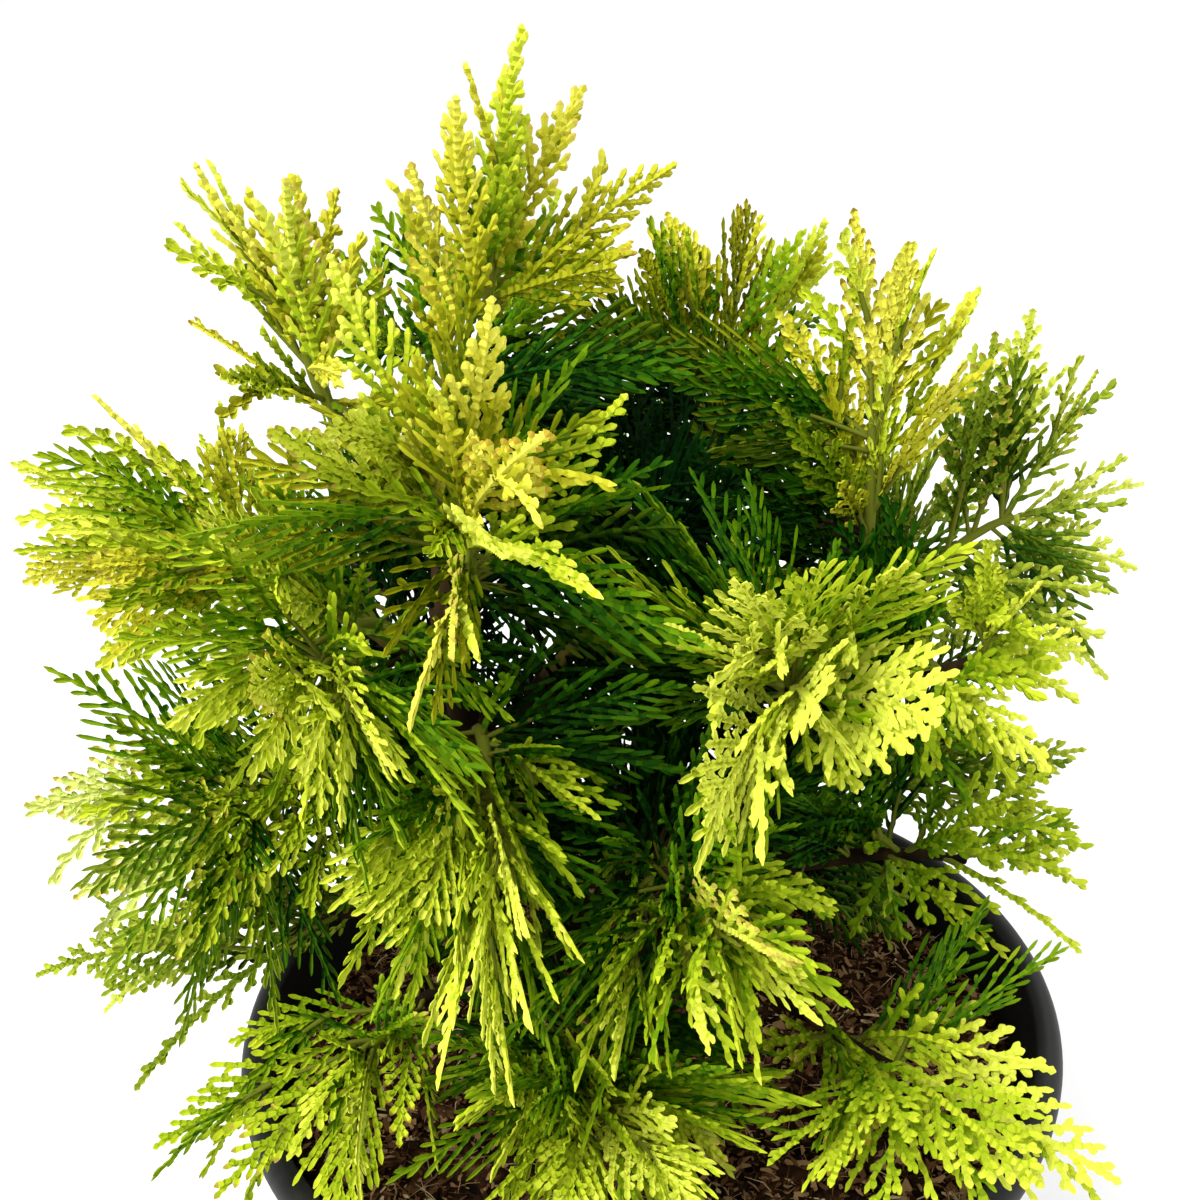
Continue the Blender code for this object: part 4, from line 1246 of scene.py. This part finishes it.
def scatter_chips(count, seed, reach):
    """Points and faces of the bark flakes, crumbs and fibres that lie on the soil."""
    rng = random.Random(seed)
    points = []
    quads = []
    shades = []
    for _ in range(count):
        away = reach * math.sqrt(rng.uniform(0.02, 1.0))
        bearing = rng.uniform(0.0, 2 * math.pi)
        kind = rng.choices(("flake", "crumb", "fibre"), (6, 5, 2))[0]
        size = {"flake": rng.uniform(0.6, 1.9), "crumb": rng.uniform(0.3, 0.8),
                "fibre": rng.uniform(1.5, 4.2)}[kind]
        broad = {"flake": size * rng.uniform(0.3, 0.6), "crumb": size * rng.uniform(0.6, 0.9),
                 "fibre": rng.uniform(0.08, 0.2)}[kind]
        turn = rng.uniform(0.0, 2 * math.pi)
        along = Vector((math.cos(turn), math.sin(turn), rng.uniform(-0.45, 0.6))).normalized()
        wide, up = side_frame(along, Vector((-math.sin(turn), math.cos(turn), rng.uniform(-0.8, 0.8))))
        centre = Vector((away * math.cos(bearing), away * math.sin(bearing),
                         SOIL_LEVEL + rng.uniform(-0.2, 1.4)))
        bow = (wide * rng.uniform(-0.3, 0.3) + up * rng.uniform(-0.1, 0.25)) * size
        base = len(points)
        for place, girth in ((-1.0, 0.5), (0.0, 1.0), (1.0, 0.4)):
            middle = centre + along * size * place + bow * (1.0 - place * place)
            girth *= rng.uniform(0.6, 1.2)
            points.append(tuple(middle + wide * broad * girth))
            points.append(tuple(middle - wide * broad * girth + up * broad * rng.uniform(-0.3, 0.3)))
        for k in (0, 2):
            quads.append((base + k, base + k + 1, base + k + 3, base + k + 2))
        weights = {"flake": (4, 6, 4, 0.5), "crumb": (5, 5, 2, 0.2), "fibre": (1, 5, 5, 2)}[kind]
        shades += [rng.choices((0, 1, 2, 3), weights)[0]] * 2
    return np.asarray(points), np.asarray(quads), np.asarray(shades)


def lathe(name, profile, sides, material):
    """A turned body from a closed outline of (radius, height) pairs."""
    rows = len(profile)
    angles = np.arange(sides) * (2 * math.pi / sides)
    outline = np.asarray(profile, float)
    points = np.stack([outline[None, :, 0] * np.cos(angles)[:, None],
                       outline[None, :, 0] * np.sin(angles)[:, None],
                       np.broadcast_to(outline[:, 1], (sides, rows))], -1)
    index = np.arange(sides * rows).reshape(sides, rows)
    ahead = np.roll(index, -1, axis=0)
    quads = np.stack([index, ahead, np.roll(ahead, -1, axis=1), np.roll(index, -1, axis=1)], -1)
    quads = quads.reshape(-1, 4)
    return array_mesh(name, points.reshape(-1, 3), quads, np.zeros(len(quads)), [material])


def make_pot_piece(material):
    """The pot turned finely: its wall, its round rolled rim and the drainage holes."""
    outline = [(0.02, 0.0), (POT_BASE_RADIUS - 1.0, 0.0), (POT_BASE_RADIUS, 1.2)]
    for low, high in (((POT_BASE_RADIUS, 1.2), (70.6, 12.0)), ((70.6, 12.0), (86.6, 122.0)),
                      ((86.6, 122.0), (88.8, 124.0)), ((88.8, 124.0), (90.6, 141.0))):
        for share in (0.04, 0.5, 0.96):
            outline.append((low[0] + (high[0] - low[0]) * share, low[1] + (high[1] - low[1]) * share))
    for degrees in range(-70, 141, 15):
        angle = math.radians(degrees)
        outline.append((POT_RIM_RADIUS - 3.4 + 3.4 * math.cos(angle),
                        POT_HEIGHT - 4.4 + 4.4 * math.sin(angle)))
    outline += [(90.0, 147.0), (67.2, POT_FLOOR + 1.0), (66.5, POT_FLOOR), (0.02, POT_FLOOR)]
    pot = lathe("pot_fine", outline, 160, material)
    cutters = []
    for k in range(DRAIN_COUNT):
        angle = 2 * math.pi * (k + 0.5) / DRAIN_COUNT
        bore = [(0.02, -2.0), (DRAIN_RADIUS, -2.0), (DRAIN_RADIUS, POT_FLOOR + 2.0), (0.02, POT_FLOOR + 2.0)]
        cutter = lathe("drain_%d" % k, bore, 20, material)
        cutter.location = (DRAIN_CIRCLE * MM * math.cos(angle), DRAIN_CIRCLE * MM * math.sin(angle), 0.0)
        step = pot.modifiers.new("drain", "BOOLEAN")
        step.operation = "DIFFERENCE"
        step.solver = "EXACT"
        step.object = cutter
        cutters.append(cutter)
    graph = bpy.context.evaluated_depsgraph_get()
    graph.update()
    shaped = bpy.data.meshes.new_from_object(pot.evaluated_get(graph))
    pot.modifiers.clear()
    pot.data = shaped
    for cutter in cutters:
        bpy.data.objects.remove(cutter, do_unlink=True)
    return pot


def aim_at(thing, target):
    way = Vector(target) - thing.location
    thing.rotation_euler = way.to_track_quat("-Z", "Y").to_euler()


def area_light(name, place, target, power, size, colour):
    data = bpy.data.lights.new(name, "AREA")
    data.energy = power
    data.size = size
    data.color = colour
    made = bpy.data.objects.new(name, data)
    bpy.context.scene.collection.objects.link(made)
    made.location = place
    aim_at(made, target)
    return made


def make_camera():
    """The photograph's view: from above the rim, tipped down, with a slight roll."""
    data = bpy.data.cameras.new("camera")
    data.sensor_width = 36.0
    data.lens = 45.0
    data.clip_start = 0.01
    made = bpy.data.objects.new("camera", data)
    bpy.context.scene.collection.objects.link(made)
    pitch = math.radians(25.6)
    roll = math.radians(-2.92)
    ahead = Vector((0.0, math.cos(pitch), -math.sin(pitch)))
    right = Vector((1.0, 0.0, 0.0))
    up = right.cross(ahead)
    rolled_right = right * math.cos(roll) + up * math.sin(roll)
    rolled_up = up * math.cos(roll) - right * math.sin(roll)
    turn = Matrix((rolled_right, rolled_up, -ahead)).transposed()
    made.matrix_world = Matrix.Translation((-0.0063, -0.2825, 0.3897)) @ turn.to_4x4()
    bpy.context.scene.camera = made


def make_stage():
    """A pale floor with a soft sky and large lamps."""
    mesh = bpy.data.meshes.new("floor")
    span = 30.0
    mesh.from_pydata([(-span, -span, 0), (span, -span, 0), (span, span, 0), (-span, span, 0)],
                     [], [(0, 1, 2, 3)])
    floor = bpy.data.objects.new("floor", mesh)
    bpy.context.scene.collection.objects.link(floor)
    mesh.materials.append(plain_material("floor_look", (250, 250, 250), 0.9))
    world = bpy.data.worlds.new("sky")
    bpy.context.scene.world = world
    world.use_nodes = True
    backdrop = world.node_tree.nodes["Background"]
    backdrop.inputs["Color"].default_value = (1.0, 1.0, 1.0, 1.0)
    backdrop.inputs["Strength"].default_value = 1.05
    area_light("key", (-0.5, -0.6, 1.3), (0, 0, 0.25), 17.0, 0.5, (1.0, 0.99, 0.95))
    area_light("rear", (0.4, 1.0, 1.2), (0, 0, 0.25), 3.0, 0.8, (1.0, 1.0, 1.0))
    bpy.context.scene.view_settings.view_transform = "Standard"


def joined_shapes(shapes):
    """Points and faces of several shapes as one set."""
    points = []
    faces = []
    for shape in shapes:
        base = len(points)
        points += list(shape[0])
        faces += [tuple(i + base for i in face) for face in shape[1]]
    return points, faces


def dress():
    palette = leaf_palette()
    barks = [bark_material("twig_brown_look"), plain_material("twig_green", (104, 112, 32), 0.6)]
    bark = [bark_material("bark_look"),
            bark_material("bark_olive_look", ((34, 28, 10), (60, 52, 20), (92, 84, 32), (122, 112, 48))),
            bark_material("bark_young_look", ((70, 76, 18), (100, 104, 26), (130, 132, 38), (158, 156, 52)))]
    limbs = make_limbs()
    trunk = Sheaf()
    line, _, _, radii = limbs["trunk"]
    bark_relief(trunk, [Vector(p) for p in line], radii, 30, 0.8)
    piece = trunk.build("trunk_bark", bark)
    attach(piece, "root")
    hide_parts("trunk")
    boughs = Sheaf()
    for name, limb in limbs.items():
        if name != "trunk":
            bark_relief(boughs, limb[0], limb[3], 14, 1.1)
    piece = boughs.build("boughs_bark", bark)
    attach(piece, "root")
    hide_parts(*[name for name in limbs if name != "trunk"])
    plans = plan_masses(limbs)
    blades = tree_of(*joined_shapes([part for plan in plans for part in plan[7]]))
    guards = (tree_of(*joined_shapes([limb[1:3] for limb in limbs.values()])), blades)
    taken = [start.lerp(tip, 0.62) for plan in plans for start, _, tip, _, _ in plan[8]]
    carriers = {name: carrier for name, carrier, _, _ in MASSES}
    for number, (name, root, middle, end, home, others, lie, parts, sprays, _) in enumerate(plans):
        rng = random.Random("dress " + name)
        leaves = Sheaf()
        woody = Sheaf()
        kind = next((word for word, names in (("cool", COOL_MASSES), ("pale", PALE_MASSES),
                                              ("gold", GOLD_SHARE)) if name in names), "warm")
        back = home.y > FRONT_EDGE
        stem_line = [bend(root, middle, end, t) for t in (0.0, 0.2, 0.4, 0.6, 0.8, 1.0)]
        twig_rod(woody, stem_line, STEM_RADIUS, STEM_RADIUS * 0.6, int(root.z > 240.0), 8)
        tint_and_shade = TINTS_AND_SHADES[name]
        habit = "plume" if name in PLUMES else "comb" if name in COMBS else "fan"
        hang = 0.35 if name in HANGING else 0.03
        slim = SLIM.get(name, SLIM_USUAL)
        golden = GOLD_SHARE.get(name, 0.0)
        # Painted light on the planned sprays over their companions behind
        lift = LIGHT_LIFTS.get(name, LIGHT_LIFT_USUAL) - LIGHT_LIFT_USUAL
        for start, bow, tip, side, width in sprays:
            broad = width * slim * thinness(tip)
            frond(leaves, woody, (start, bow, tip, side, broad), tint_and_shade + lift, kind, habit, rng,
                  int(back and name not in SEEN_BEHIND), golden)
        for spray in sprays:
            if thinness(spray[2]) < 1.0:
                continue
            for _ in range(COMPANIONS.get(name, COMPANIONS_BACK if back else COMPANIONS_FRONT)):
                extra = companion(spray, home, others, guards, taken, hang, slim,
                                  COMPANION_ROOM.get(name, 7.5), rng)
                if extra is not None:
                    # Painted shade: companions are darker than the planned sprays they stand behind
                    frond(leaves, woody, extra, tint_and_shade - 0.5, kind, habit, rng, 1, golden)
        for number_of, place in enumerate(FILLERS.get(name, ())):
            start = bend(root, middle, end, 0.7 + 0.06 * number_of)
            tip = Vector(place)
            bow, side, width = spray_shape(start, tip, FILLER_LIE, 15.0, rng)
            if in_own_cell([bow, tip], home, others) and clear_of_pot([bow, tip]):
                # Painted shade: fillers are a little darker than the planned sprays
                frond(leaves, woody, (start, bow, tip, side, width), tint_and_shade - 0.4, kind, habit, rng,
                      0, golden)
        bough = limbs[carriers[name]][0]
        if carriers[name] == "trunk":
            bough = bough[len(bough) // 2:]
        pieces = list(zip(bough[:-1], bough[1:])) + list(zip(stem_line[:-1], stem_line[1:]))
        for main in (limbs["trunk"][0], limbs["bough_right_leader"][0]):
            pieces += [pair for pair in zip(main[:-1], main[1:])
                       if (pair[0].lerp(pair[1], 0.5) - bough[0]).length < 32.0]
        for _ in range(INNER_MORE.get(name, INNER_SPRAYS)):
            extra = inner_spray(pieces, (home, others), guards, taken,
                                NEARNESS.get(name, 9.0), rng)
            if extra is not None:
                # Painted shade: inner sprays are much darker, as in the crown's dim heart
                frond(leaves, woody, extra, tint_and_shade * 0.5 - 1.7, kind, "comb", rng, 2)
        piece = leaves.build("leaves_" + name, palette, False)
        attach(piece, "root")
        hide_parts("foliage_" + name)
        wood = woody.build("twigs_" + name, barks)
        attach(wood, "root")
    bpy.data.objects["soil"].material_slots[0].material = soil_material()
    pot = make_pot_piece(plastic_material())
    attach(pot, "root")
    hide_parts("pot")
    chip_looks = [plain_material("chip_dark", (46, 29, 17), 0.9),
                  plain_material("chip_brown", (100, 68, 42), 0.88),
                  plain_material("chip_tan", (156, 122, 84), 0.85),
                  plain_material("chip_straw", (194, 172, 128), 0.8)]
    points, quads, shades = scatter_chips(15000, 11, 85.0)
    chips = array_mesh("soil_chips", points, quads, shades, chip_looks, False)
    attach(chips, "root")


make_camera()
make_stage()
dress()
